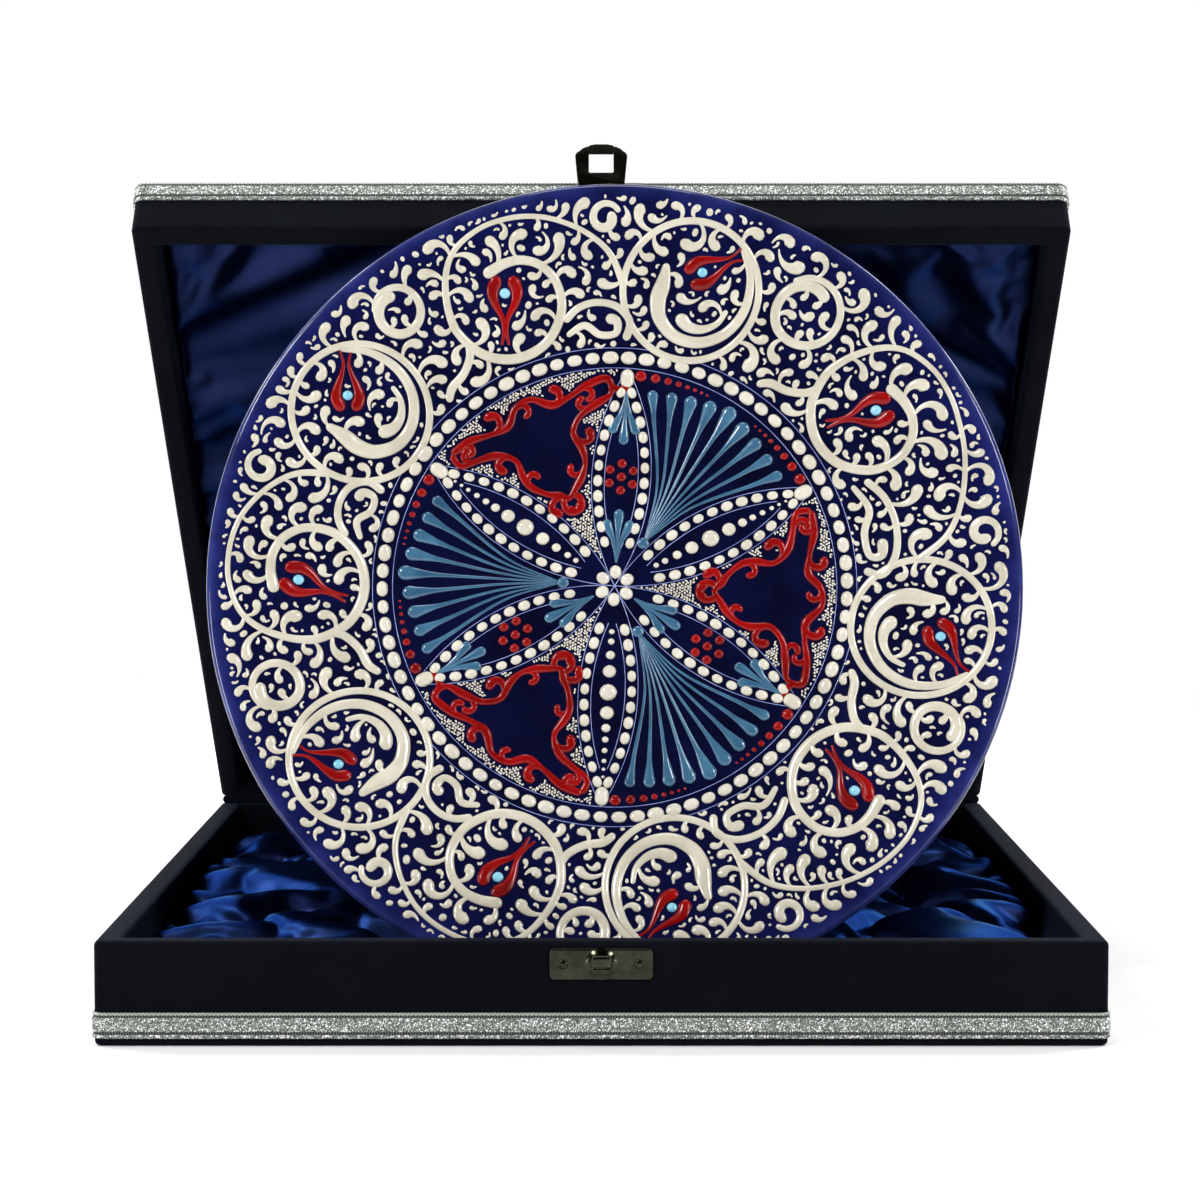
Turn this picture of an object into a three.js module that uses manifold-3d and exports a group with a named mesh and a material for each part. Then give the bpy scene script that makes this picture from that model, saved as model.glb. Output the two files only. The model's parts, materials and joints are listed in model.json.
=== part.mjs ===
// A hand painted ceramic plate, standing in the velvet presentation case that it is kept and shown in.
// Millimetres, +Z up. X runs along the case's front, Y from its front to its back.
// The origin is the middle of the case's underside.
// The case is open: its lid leans forward onto the back of the plate, and its hasp is flipped up.

import * as THREE from "three";
import { mergeVertices } from "three/addons/utils/BufferGeometryUtils.js";
import Module from "manifold-3d";

const wasm = await Module();
wasm.setup();

// Driving dimensions.
const PLATE_DIAMETER = 300;
const PLATE_HEIGHT = 25; // foot ring to lip
const PLATE_LEAN = THREE.MathUtils.degToRad(12.3); // back from upright
const PLATE_OFFSET_X = 5; // the plate stands a little to the right of the middle
const CASE_WIDTH = 354;
const CASE_DEPTH = 360;
const BASE_HEIGHT = 37;
const LID_HEIGHT = 26;
const LID_OPEN = THREE.MathUtils.degToRad(44); // from closed
const HASP_FLIP = THREE.MathUtils.degToRad(160); // from closed

// Sheet and board thicknesses.
const GAP = 0.3; // left between touching pieces
const RIM_GAP = 0.4; // between the two rims when the case is closed
const VELVET = 0.8;
const WALL = 7;
const PANEL = 3;
const BRAID = 0.7;
const BASE_BRAID = [2.2, 12]; // lower and upper edge, above the ground
const LID_BRAID = [10.2, 1]; // lower and upper edge, below the lid's top
const METAL = 1;
const CORNER = 1.5; // radius of the case's upright edges

// Lining levels, from the rim of each half.
const BASE_BED = 19;
const BASE_TROUGH = 25;
const LID_BED = 10;
const SATIN = 2.4; // quilted satin, with its backing

// Hinge and hasp hardware.
const KNUCKLE_RADIUS = 1.9;
const BORE_RADIUS = 1.15;
const PIN_RADIUS = 0.8;
const RIVET_HEAD = 1.7;
const RIVET_SHANK = 0.75;
const HINGE_LENGTH = 30;
const HINGE_SPACING = 210;
const RIVET_LIFT = 0.15; // the rivet heads stand this far off the metal
const HASP_REACH = 17.1; // pivot to the middle of the hasp's window
const ROUND = 12; // sides of small round pieces

// Levels and faces that follow from the above.
const HINGE_Y = CASE_DEPTH / 2 + 2.2;
const HINGE_Z = BASE_HEIGHT + RIM_GAP / 2;
const BOARD_INSET = VELVET + GAP;
const WALL_INSET = BOARD_INSET + WALL;
const INNER_INSET = WALL_INSET + GAP + VELVET;

const materials = {
  ceramic: material("#1b1f6b", 0.12, 0),
  board: material("#b58d62", 0.8, 0),
  velvet: material("#060914", 0.95, 0),
  paper: material("#0a0d18", 0.9, 0),
  satin: material("#16307e", 0.35, 0),
  wadding: material("#e6e4dc", 1, 0),
  braid: material("#9aa39d", 0.4, 0.6),
  nickel: material("#8d8f86", 0.15, 1),
};

function material(color, roughness, metalness) {
  return new THREE.MeshStandardMaterial({ color, roughness, metalness });
}

// ---- Small helpers ----

function solidOf(geometry) {
  const bare = geometry.clone();
  bare.deleteAttribute("normal");
  bare.deleteAttribute("uv");
  const merged = mergeVertices(bare, 1e-4);
  return new wasm.Manifold(
    new wasm.Mesh({
      numProp: 3,
      vertProperties: new Float32Array(merged.attributes.position.array),
      triVerts: new Uint32Array(merged.index.array),
    }),
  );
}

function geometryOf(solid) {
  const mesh = solid.getMesh();
  const geometry = new THREE.BufferGeometry();
  geometry.setAttribute("position", new THREE.BufferAttribute(mesh.vertProperties, 3));
  geometry.setIndex(new THREE.BufferAttribute(mesh.triVerts, 1));
  geometry.computeVertexNormals();
  return geometry;
}

function cut(geometry, ...tools) {
  return geometryOf(tools.reduce((solid, tool) => solid.subtract(solidOf(tool)), solidOf(geometry)));
}

function join(geometry, ...others) {
  return geometryOf(others.reduce((solid, other) => solid.add(solidOf(other)), solidOf(geometry)));
}

// A box given by its lowest and highest corners.
function box(low, high) {
  const size = high.map((value, i) => value - low[i]);
  const middle = high.map((value, i) => (value + low[i]) / 2);
  return new THREE.BoxGeometry(...size).translate(...middle);
}

function roundedOutline(width, depth, radius) {
  const x = width / 2;
  const y = depth / 2;
  const shape = new THREE.Shape();
  shape.moveTo(-x + radius, -y);
  shape.absarc(x - radius, -y + radius, radius, -Math.PI / 2, 0, false);
  shape.absarc(x - radius, y - radius, radius, 0, Math.PI / 2, false);
  shape.absarc(-x + radius, y - radius, radius, Math.PI / 2, Math.PI, false);
  shape.absarc(-x + radius, -y + radius, radius, Math.PI, 1.5 * Math.PI, false);
  return shape;
}

// A sharp-edged slab of the case's outline, drawn in by inset, between two levels.
function slab(inset, low, high) {
  const x = CASE_WIDTH / 2 - inset;
  const y = CASE_DEPTH / 2 - inset;
  return box([-x, -y, low], [x, y, high]);
}

// The same outline pushed out by an overhang, with rounded upright edges.
function roundedSlab(overhang, low, high) {
  const width = CASE_WIDTH + 2 * overhang;
  const depth = CASE_DEPTH + 2 * overhang;
  const shape = roundedOutline(width, depth, CORNER + overhang);
  const geometry = new THREE.ExtrudeGeometry(shape, {
    depth: high - low,
    bevelEnabled: false,
    curveSegments: 4,
  });
  return geometry.translate(0, 0, low);
}

// A round bar along X.
function barX(radius, from, to) {
  const bar = new THREE.CylinderGeometry(radius, radius, to - from, ROUND);
  return bar.rotateZ(Math.PI / 2).translate((from + to) / 2, 0, 0);
}

// A round bar along Y.
function barY(radius, from, to, x, z) {
  const bar = new THREE.CylinderGeometry(radius, radius, to - from, ROUND);
  return bar.translate(x, (from + to) / 2, z);
}

function addNode(parent, name, geometry, finish) {
  const mesh = new THREE.Mesh(geometry, materials[finish]);
  mesh.name = name;
  parent.add(mesh);
  return mesh;
}

// Rivet and screw places: each is a point on the outside of a wall, and which way the wall faces.
const HINGE_CENTRES = [-HINGE_SPACING / 2, HINGE_SPACING / 2];
const LEAF_RIVET_X = 10;
const LEAF_RIVET_Z = 8;
const CLASP_RIVET_X = 13.2;
const CATCH_Z = BASE_HEIGHT - 7.7;
const HASP_Z = CATCH_Z + HASP_REACH;
const RIVET_LENGTH = 5;

const baseRivets = [
  ...HINGE_CENTRES.flatMap((x) => [
    { x: x - LEAF_RIVET_X, z: HINGE_Z - LEAF_RIVET_Z, side: 1 },
    { x: x + LEAF_RIVET_X, z: HINGE_Z - LEAF_RIVET_Z, side: 1 },
  ]),
  { x: -CLASP_RIVET_X, z: CATCH_Z, side: -1 },
  { x: CLASP_RIVET_X, z: CATCH_Z, side: -1 },
];
const lidRivets = [
  ...HINGE_CENTRES.flatMap((x) => [
    { x: x - LEAF_RIVET_X, z: HINGE_Z + LEAF_RIVET_Z, side: 1 },
    { x: x + LEAF_RIVET_X, z: HINGE_Z + LEAF_RIVET_Z, side: 1 },
  ]),
  { x: -CLASP_RIVET_X, z: HASP_Z, side: -1 },
  { x: CLASP_RIVET_X, z: HASP_Z, side: -1 },
];

// The clearance hole of one rivet, through metal, velvet and part of the board.
function rivetHole({ x, z, side }) {
  const face = (side * CASE_DEPTH) / 2;
  const ends = [face + side * 3 * METAL, face - side * (RIVET_LENGTH + METAL)].sort((a, b) => a - b);
  return barY(RIVET_SHANK + GAP, ends[0], ends[1], x, z);
}

// A domed rivet: its head stands on the metal, and its shank goes into the board.
function rivet({ x, z, side }) {
  const under = GAP + METAL + RIVET_LIFT;
  const profile = [
    new THREE.Vector2(0, -RIVET_LENGTH),
    new THREE.Vector2(RIVET_SHANK, -RIVET_LENGTH),
    new THREE.Vector2(RIVET_SHANK, under),
    new THREE.Vector2(RIVET_HEAD, under),
    new THREE.Vector2(RIVET_HEAD * 0.9, under + 0.35),
    new THREE.Vector2(RIVET_HEAD * 0.55, under + 0.65),
    new THREE.Vector2(0, under + 0.75),
  ];
  const geometry = new THREE.LatheGeometry(profile, ROUND);
  if (side < 0) geometry.rotateX(Math.PI);
  return geometry.translate(x, (side * CASE_DEPTH) / 2, z);
}

const front = (places) => places.filter(({ side }) => side < 0).map(rivetHole);
const back = (places) => places.filter(({ side }) => side > 0).map(rivetHole);

// ---- One half of the case: four walls and a panel inside a velvet cover ----

// Each half is drawn closed, from its panel side, panelOut, to its rim, with its rivet holes.
function addCaseHalf(parent, half, panelOut, rim, holes) {
  const up = Math.sign(rim - panelOut);
  const span = (from, to) => [panelOut + up * from, panelOut + up * to].sort((a, b) => a - b);
  const height = Math.abs(rim - panelOut);
  const [panelLow, panelHigh] = span(BOARD_INSET, BOARD_INSET + PANEL);
  const [wallLow, wallHigh] = span(BOARD_INSET + PANEL + GAP, height - BOARD_INSET);
  const x = CASE_WIDTH / 2;
  const y = CASE_DEPTH / 2;

  addNode(
    parent,
    `${half}_panel_board`,
    box([-x + BOARD_INSET, -y + BOARD_INSET, panelLow], [x - BOARD_INSET, y - BOARD_INSET, panelHigh]),
    "board",
  );
  const longWall = (sign) => {
    const ends = [sign * (y - BOARD_INSET), sign * (y - WALL_INSET)].sort((a, b) => a - b);
    return box([-x + BOARD_INSET, ends[0], wallLow], [x - BOARD_INSET, ends[1], wallHigh]);
  };
  addNode(parent, `${half}_front_wall`, cut(longWall(-1), ...front(holes)), "board");
  addNode(parent, `${half}_back_wall`, cut(longWall(1), ...back(holes)), "board");
  for (const [name, sign] of [["left", -1], ["right", 1]]) {
    const ends = [sign * (x - BOARD_INSET), sign * (x - WALL_INSET)].sort((a, b) => a - b);
    const inner = y - WALL_INSET - GAP;
    addNode(
      parent,
      `${half}_${name}_wall`,
      box([ends[0], -inner, wallLow], [ends[1], inner, wallHigh]),
      "board",
    );
  }

  // The velvet goes round the outside, over the rim and down the inside of the walls.
  const [coverLow, coverHigh] = span(0, height);
  const [boardLow, boardHigh] = span(VELVET, height - VELVET);
  const [floorLow, floorHigh] = span(VELVET, BOARD_INSET + PANEL + GAP);
  const [recessLow, recessHigh] = span(floorHigh - floorLow + VELVET - 0.1, height + 1);
  const wallSpace = cut(
    slab(VELVET, boardLow, boardHigh),
    slab(INNER_INSET - VELVET, ...span(BOARD_INSET + PANEL + GAP, height)),
  );
  addNode(
    parent,
    `${half}_velvet_cover`,
    cut(
      roundedSlab(0, coverLow, coverHigh),
      wallSpace,
      slab(INNER_INSET, recessLow, recessHigh),
      ...(half === "base" ? [underWindow()] : []),
      ...holes.map(rivetHole),
    ),
    "velvet",
  );
}

// ---- The base ----

const UNDER_INSET = 14; // how far the velvet turns in under the base
const UNDER_SHEET = 0.7;

function underWindow() {
  return slab(UNDER_INSET, -1, BOARD_INSET);
}

function addBase(parent) {
  addCaseHalf(parent, "base", GAP / 3, BASE_HEIGHT, baseRivets);
  addNode(
    parent,
    "base_underside_sheet",
    slab(UNDER_INSET + GAP, 0, UNDER_SHEET),
    "paper",
  );

  // Wadding, and the satin over it, with a trough that the plate's lower edge stands in.
  const bed = BASE_HEIGHT - BASE_BED;
  const trough = BASE_HEIGHT - BASE_TROUGH;
  const floor = GAP / 3 + BOARD_INSET + PANEL + GAP;
  const inset = INNER_INSET + GAP;
  const wadding = bed - SATIN - GAP;
  const hollow = (margin, level) =>
    box(
      [PLATE_OFFSET_X - TROUGH_HALF - margin, TROUGH_FRONT - margin, level],
      [PLATE_OFFSET_X + TROUGH_HALF + margin, TROUGH_BACK + margin, bed + 5],
    );
  addNode(
    parent,
    "base_wadding",
    cut(slab(inset, floor, wadding), hollow(SATIN + GAP, trough - SATIN - GAP)),
    "wadding",
  );
  addNode(
    parent,
    "base_satin_lining",
    cut(
      slab(inset, trough - SATIN, bed),
      hollow(0, trough),
      cut(slab(inset - 1, trough - SATIN - 1, bed - SATIN), hollow(SATIN, trough - SATIN - 2)),
    ),
    "satin",
  );
  addNode(parent, "base_braid", braidBand(...BASE_BRAID), "braid");
  addNode(parent, "clasp_catch", claspCatch(), "nickel");
}

// A flat woven band round all four sides.
function braidBand(low, high) {
  return cut(roundedSlab(GAP + BRAID, low, high), roundedSlab(GAP, low - 1, high + 1));
}

const CATCH_WIDTH = 36;
const CATCH_HEIGHT = 11;
const STUD_HALF = 6; // half the stud's width at its root
const STUD_WAIST = 4.1;
const STUD_DEPTH = 4.7;
const STUD_HEIGHT = 8;

// A plate with a stud that the hasp's window snaps over.
function claspCatch() {
  const face = -CASE_DEPTH / 2 - GAP;
  const plate = box(
    [-CATCH_WIDTH / 2, face - METAL, CATCH_Z - CATCH_HEIGHT / 2],
    [CATCH_WIDTH / 2, face, CATCH_Z + CATCH_HEIGHT / 2],
  );
  const outline = new THREE.Shape();
  outline.moveTo(-STUD_HALF, METAL / 5);
  outline.quadraticCurveTo(-STUD_WAIST - 0.1, -0.6, -STUD_WAIST, -2.2);
  outline.quadraticCurveTo(-STUD_WAIST, -STUD_DEPTH + 0.1, 0, -STUD_DEPTH);
  outline.quadraticCurveTo(STUD_WAIST, -STUD_DEPTH + 0.1, STUD_WAIST, -2.2);
  outline.quadraticCurveTo(STUD_WAIST + 0.1, -0.6, STUD_HALF, METAL / 5);
  const stud = new THREE.ExtrudeGeometry(outline, {
    depth: STUD_HEIGHT,
    bevelEnabled: false,
    curveSegments: 5,
  }).translate(0, face - METAL, CATCH_Z - STUD_HEIGHT / 2);
  return cut(join(plate, stud), ...front(baseRivets));
}

// ---- Hinges: two knuckles on the base's leaf, one on the lid's, and a headed pin ----

const MIDDLE_KNUCKLE = 4.9;
const LEAF_START = KNUCKLE_RADIUS + 0.4;
const LEAF_END = 13;

function hingeLeaf(centre, side, spans, holes) {
  const leafFace = CASE_DEPTH / 2 + GAP - HINGE_Y;
  const plateZ = [side * LEAF_START, side * LEAF_END].sort((a, b) => a - b);
  const tabZ = [0, side * (LEAF_START + 1)].sort((a, b) => a - b);
  const plate = box(
    [-HINGE_LENGTH / 2, leafFace, plateZ[0]],
    [HINGE_LENGTH / 2, leafFace + METAL, plateZ[1]],
  );
  const knuckles = spans.flatMap(([from, to]) => [
    barX(KNUCKLE_RADIUS, from, to),
    box([from, leafFace, tabZ[0]], [to, leafFace + METAL, tabZ[1]]),
  ]);
  const leaf = cut(join(plate, ...knuckles), barX(BORE_RADIUS, -HINGE_LENGTH, HINGE_LENGTH));
  return cut(leaf.translate(centre, HINGE_Y, HINGE_Z), ...holes);
}

function hingePin(centre) {
  const end = HINGE_LENGTH / 2 + GAP;
  const pin = join(
    barX(PIN_RADIUS, -end, end),
    barX(KNUCKLE_RADIUS, -end - 1, -end),
    barX(KNUCKLE_RADIUS, end, end + 1),
  );
  return pin.translate(centre, HINGE_Y, HINGE_Z);
}

function addHinges(baseGroup, lidGroup) {
  const outer = HINGE_LENGTH / 2;
  const outerSpans = [[-outer, -MIDDLE_KNUCKLE - GAP], [MIDDLE_KNUCKLE + GAP, outer]];
  const middleSpan = [[-MIDDLE_KNUCKLE, MIDDLE_KNUCKLE]];
  for (const [name, centre] of [["left", HINGE_CENTRES[0]], ["right", HINGE_CENTRES[1]]]) {
    addNode(
      baseGroup,
      `hinge_${name}_base_leaf`,
      hingeLeaf(centre, -1, outerSpans, back(baseRivets)),
      "nickel",
    );
    addNode(baseGroup, `hinge_${name}_pin`, hingePin(centre), "nickel");
    addNode(
      lidGroup,
      `hinge_${name}_lid_leaf`,
      hingeLeaf(centre, 1, middleSpan, back(lidRivets)),
      "nickel",
    );
  }
}

function addRivets(parent, names, places) {
  names.forEach((name, i) => addNode(parent, name, rivet(places[i]), "nickel"));
}

// ---- The lid, drawn closed and turned open about the hinge pins ----

function addLid(parent) {
  const rim = BASE_HEIGHT + RIM_GAP;
  const top = rim + LID_HEIGHT;
  addCaseHalf(parent, "lid", top, rim, lidRivets);
  const inset = INNER_INSET + GAP;
  const ceiling = top - BOARD_INSET - PANEL - GAP;
  addNode(parent, "lid_wadding", slab(inset, rim + LID_BED + SATIN + GAP, ceiling), "wadding");
  addNode(parent, "lid_satin_lining", slab(inset, rim + LID_BED, rim + LID_BED + SATIN), "satin");
  addNode(parent, "lid_braid", braidBand(...LID_BRAID.map((drop) => top - drop)), "braid");
  addNode(parent, "hasp_mount", haspMount(), "nickel");
}

// ---- The clasp's moving half ----

const HASP_AXIS_Y = -CASE_DEPTH / 2 - GAP - METAL - KNUCKLE_RADIUS;
const HASP_KNUCKLE = 5;
const HASP_MOUNT_HEIGHT = 8;
const HASP_THICKNESS = 1.2;
const HASP_WINDOW = 4.7; // half its side
const EAR_END = 8; // the mount's two ears reach this far from the middle
const EAR_HALF_HEIGHT = 1.2;
const PIN_HEAD = 0.8; // length of the hasp pin's heads

function haspMount() {
  const face = -CASE_DEPTH / 2 - GAP;
  const plate = box(
    [-CATCH_WIDTH / 2, face - METAL, HASP_Z - HASP_MOUNT_HEIGHT / 2],
    [CATCH_WIDTH / 2, face, HASP_Z + HASP_MOUNT_HEIGHT / 2],
  );
  const ears = [[-EAR_END, -HASP_KNUCKLE - GAP], [HASP_KNUCKLE + GAP, EAR_END]].flatMap(([from, to]) => [
    barX(KNUCKLE_RADIUS, from, to).translate(0, HASP_AXIS_Y, HASP_Z),
    box([from, HASP_AXIS_Y, HASP_Z - EAR_HALF_HEIGHT], [to, face - METAL / 2, HASP_Z + EAR_HALF_HEIGHT]),
  ]);
  const bore = barX(BORE_RADIUS, -EAR_END - 1, EAR_END + 1).translate(0, HASP_AXIS_Y, HASP_Z);
  return cut(join(plate, ...ears), bore, ...front(lidRivets));
}

// A loop with a square window, drawn hanging down from its knuckle at the origin.
function haspLoop() {
  const outline = new THREE.Shape();
  outline.moveTo(-HASP_KNUCKLE, -1.2);
  outline.lineTo(-HASP_KNUCKLE, -4);
  outline.lineTo(-8.8, -7.5);
  outline.lineTo(-9.9, -21);
  outline.quadraticCurveTo(-9.6, -23.2, -6.5, -24.4);
  outline.quadraticCurveTo(0, -26.6, 6.5, -24.4);
  outline.quadraticCurveTo(9.6, -23.2, 9.9, -21);
  outline.lineTo(8.8, -7.5);
  outline.lineTo(HASP_KNUCKLE, -4);
  outline.lineTo(HASP_KNUCKLE, -1.2);
  const window = new THREE.Path();
  window.moveTo(-HASP_WINDOW, -HASP_REACH - HASP_WINDOW);
  window.lineTo(-HASP_WINDOW, -HASP_REACH + HASP_WINDOW);
  window.lineTo(HASP_WINDOW, -HASP_REACH + HASP_WINDOW);
  window.lineTo(HASP_WINDOW, -HASP_REACH - HASP_WINDOW);
  window.closePath();
  outline.holes.push(window);
  const plate = new THREE.ExtrudeGeometry(outline, {
    depth: HASP_THICKNESS,
    bevelEnabled: false,
    curveSegments: 5,
  });
  // The shape's own Y becomes Z, so the plate stands upright.
  plate.rotateX(Math.PI / 2).translate(0, HASP_THICKNESS / 2, 0);
  return cut(
    join(plate, barX(KNUCKLE_RADIUS, -HASP_KNUCKLE, HASP_KNUCKLE)),
    barX(BORE_RADIUS, -HASP_KNUCKLE - 1, HASP_KNUCKLE + 1),
  );
}

function haspPin() {
  const end = EAR_END + GAP;
  return join(
    barX(PIN_RADIUS, -end, end),
    barX(KNUCKLE_RADIUS * 0.8, -end - PIN_HEAD, -end),
    barX(KNUCKLE_RADIUS * 0.8, end, end + PIN_HEAD),
  );
}

// ---- The plate: a foot ring, a flat well, a broad sloping rim and a rounded lip ----

const LIP_RADIUS = 2.4;
const WELL_RADIUS = 80;
const FOOT_RADIUS = 74;
const UNDER_WELL = 3; // height of the well's underside
const BACK_SLOPE_START = new THREE.Vector2(FOOT_RADIUS + 6, 5.2);
const BACK_SLOPE_END = new THREE.Vector2(PLATE_DIAMETER / 2 - 3, PLATE_HEIGHT - 2 * LIP_RADIUS);

function plateProfile() {
  const radius = PLATE_DIAMETER / 2;
  const points = [
    [0, UNDER_WELL],
    [FOOT_RADIUS - 5, UNDER_WELL],
    [FOOT_RADIUS - 3.5, 0],
    [FOOT_RADIUS, 0],
    [FOOT_RADIUS + 2, 4],
    [BACK_SLOPE_START.x, BACK_SLOPE_START.y],
    [BACK_SLOPE_END.x, BACK_SLOPE_END.y],
  ].map(([r, z]) => new THREE.Vector2(r, z));
  for (let step = 0; step <= 6; step++) {
    const angle = -Math.PI / 3 + (step / 6) * 0.85 * Math.PI;
    points.push(
      new THREE.Vector2(
        radius - LIP_RADIUS + LIP_RADIUS * Math.cos(angle),
        PLATE_HEIGHT - LIP_RADIUS + LIP_RADIUS * Math.sin(angle),
      ),
    );
  }
  for (const [r, z] of [
    [radius - 10, PLATE_HEIGHT - 2],
    [WELL_RADIUS + 8, 10.6],
    [WELL_RADIUS + 2, 9.4],
    [WELL_RADIUS - 8, 8.7],
    [WELL_RADIUS / 2, 8.4],
    [0, 8.2],
  ])
    points.push(new THREE.Vector2(r, z));
  return points;
}

// The plate leans back, so that the back of its rim meets the front edge of the lid's rim
// and its lip stands in the trough of the lining.
const lidEdge = (() => {
  const along = CASE_DEPTH / 2 + HINGE_Y;
  const rise = RIM_GAP / 2;
  return new THREE.Vector2(
    HINGE_Y - along * Math.cos(LID_OPEN) + rise * Math.sin(LID_OPEN),
    HINGE_Z + along * Math.sin(LID_OPEN) + rise * Math.cos(LID_OPEN),
  );
})();
const plateUp = new THREE.Vector2(Math.sin(PLATE_LEAN), Math.cos(PLATE_LEAN));
const plateFacing = new THREE.Vector2(-Math.cos(PLATE_LEAN), Math.sin(PLATE_LEAN));

function plateOrigin() {
  const lipCentre = new THREE.Vector2(PLATE_DIAMETER / 2 - LIP_RADIUS, PLATE_HEIGHT - LIP_RADIUS);
  const lowest =
    -lipCentre.x * plateUp.y + lipCentre.y * plateFacing.y - LIP_RADIUS;
  const z = BASE_HEIGHT - BASE_TROUGH + GAP - lowest;
  // Along the back slope, from the origin, to the height of the lid's edge.
  const slope = BACK_SLOPE_END.clone().sub(BACK_SLOPE_START);
  const startZ = z + BACK_SLOPE_START.x * plateUp.y + BACK_SLOPE_START.y * plateFacing.y;
  const risePerStep = slope.x * plateUp.y + slope.y * plateFacing.y;
  const share = (lidEdge.y - startZ) / risePerStep;
  const r = BACK_SLOPE_START.x + share * slope.x;
  const depth = BACK_SLOPE_START.y + share * slope.y;
  const y = lidEdge.x - GAP * 2 - r * plateUp.x - depth * plateFacing.x;
  return new THREE.Vector2(y, z);
}

const PLATE_ORIGIN = plateOrigin();
const TROUGH_HALF = 62; // half its length along the front
const PLATE_FOOT_Y = PLATE_ORIGIN.x - (PLATE_DIAMETER / 2) * plateUp.x + PLATE_HEIGHT * plateFacing.x;
const TROUGH_FRONT = PLATE_FOOT_Y - 3;
const TROUGH_BACK = PLATE_FOOT_Y + 15;

function addPlate(parent) {
  const group = new THREE.Group();
  group.position.set(PLATE_OFFSET_X, PLATE_ORIGIN.x, PLATE_ORIGIN.y);
  group.rotation.x = Math.PI / 2 - PLATE_LEAN;
  const body = new THREE.LatheGeometry(plateProfile(), 72).rotateX(Math.PI / 2);
  addNode(group, "plate_body", body, "ceramic");
  parent.add(group);
}

// ---- Assembly ----

const assembly = new THREE.Group();
const base = new THREE.Group();
assembly.add(base);
addBase(base);

// The hinge's axis is this group's own X axis; its child undoes the offset, so the lid is drawn closed.
const lidHinge = new THREE.Group();
lidHinge.position.set(0, HINGE_Y, HINGE_Z);
lidHinge.rotation.x = -LID_OPEN;
assembly.add(lidHinge);
const lid = new THREE.Group();
lid.position.set(0, -HINGE_Y, -HINGE_Z);
lidHinge.add(lid);
addLid(lid);

addHinges(base, lid);
const leafRivetNames = (leaf) =>
  ["left", "right"].flatMap((hinge) => [
    `hinge_${hinge}_${leaf}_rivet_1`,
    `hinge_${hinge}_${leaf}_rivet_2`,
  ]);
addRivets(base, [...leafRivetNames("base"), "catch_rivet_left", "catch_rivet_right"], baseRivets);
addRivets(lid, [...leafRivetNames("lid"), "hasp_rivet_left", "hasp_rivet_right"], lidRivets);

const hasp = new THREE.Group();
hasp.position.set(0, HASP_AXIS_Y, HASP_Z);
lid.add(hasp);
addNode(hasp, "hasp_pin", haspPin(), "nickel");
const haspHinge = new THREE.Group();
haspHinge.rotation.x = -HASP_FLIP;
hasp.add(haspHinge);
addNode(haspHinge, "hasp_loop", haspLoop(), "nickel");

addPlate(assembly);

export default assembly;
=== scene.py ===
"""A hand painted ceramic plate, standing in its open velvet presentation case.

Shapes are worked out in millimetres, and every mesh is made in metres, in the CAD model's own frame.
The plate's ornament is drawn in the plate's flat plane, with x to the right, y up and 0, 0 in the
middle, and then laid on the plate's curved face as raised enamel.
"""

import json
import math
import random

import bmesh
import bpy
import numpy as np
from mathutils import Matrix, Vector, noise


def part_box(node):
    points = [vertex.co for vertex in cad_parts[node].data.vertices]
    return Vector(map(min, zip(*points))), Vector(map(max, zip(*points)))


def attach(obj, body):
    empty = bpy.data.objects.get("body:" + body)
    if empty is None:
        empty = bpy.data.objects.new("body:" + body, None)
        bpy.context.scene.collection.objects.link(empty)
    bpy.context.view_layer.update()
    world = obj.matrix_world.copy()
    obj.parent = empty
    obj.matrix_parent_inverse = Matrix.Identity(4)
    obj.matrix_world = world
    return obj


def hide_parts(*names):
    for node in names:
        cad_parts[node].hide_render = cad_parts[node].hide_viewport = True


MM = 0.001
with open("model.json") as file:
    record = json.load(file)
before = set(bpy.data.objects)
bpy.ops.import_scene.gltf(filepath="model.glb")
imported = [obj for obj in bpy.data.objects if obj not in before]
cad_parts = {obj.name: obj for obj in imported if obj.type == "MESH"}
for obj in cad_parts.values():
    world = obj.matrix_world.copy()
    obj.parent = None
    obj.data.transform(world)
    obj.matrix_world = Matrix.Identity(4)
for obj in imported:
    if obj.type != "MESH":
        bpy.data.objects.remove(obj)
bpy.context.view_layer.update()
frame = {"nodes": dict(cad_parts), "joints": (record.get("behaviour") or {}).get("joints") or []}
joints = {joint["name"]: joint for joint in frame["joints"]}


def box_mm(node):
    """A CAD node's lowest and highest corners, in millimetres."""
    low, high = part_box(node)
    return low / MM, high / MM


# ---- Sizes that follow from the frame ----

LID_OPEN = math.radians(44)
HASP_FLIP = math.radians(160)
PLATE_LEAN = math.radians(12.3)

cover_low, cover_high = box_mm("base_velvet_cover")
CASE_X = cover_high.x  # half the case's width
CASE_Y = cover_high.y  # half its depth
RIM = cover_high.z
BASE_FOOT = cover_low.z
HINGE = Vector(joints["lid_hinge"]["pos_m"])
WALL = 9.2  # from the case's outside to the inside of its velvet wall
BED = box_mm("base_satin_lining")[1].z

# Heights of the closed lid.
LID_RIM = RIM + 0.4
LID_TOP = LID_RIM + 26
LID_BED = LID_RIM + 10

HERE = Matrix.Identity(4)  # for pieces that are made where they belong

# A point of the closed lid, turned to where the open lid is.
LID = (
    Matrix.Translation(HINGE)
    @ Matrix.Rotation(-LID_OPEN, 4, "X")
    @ Matrix.Translation(-HINGE)
)

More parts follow.
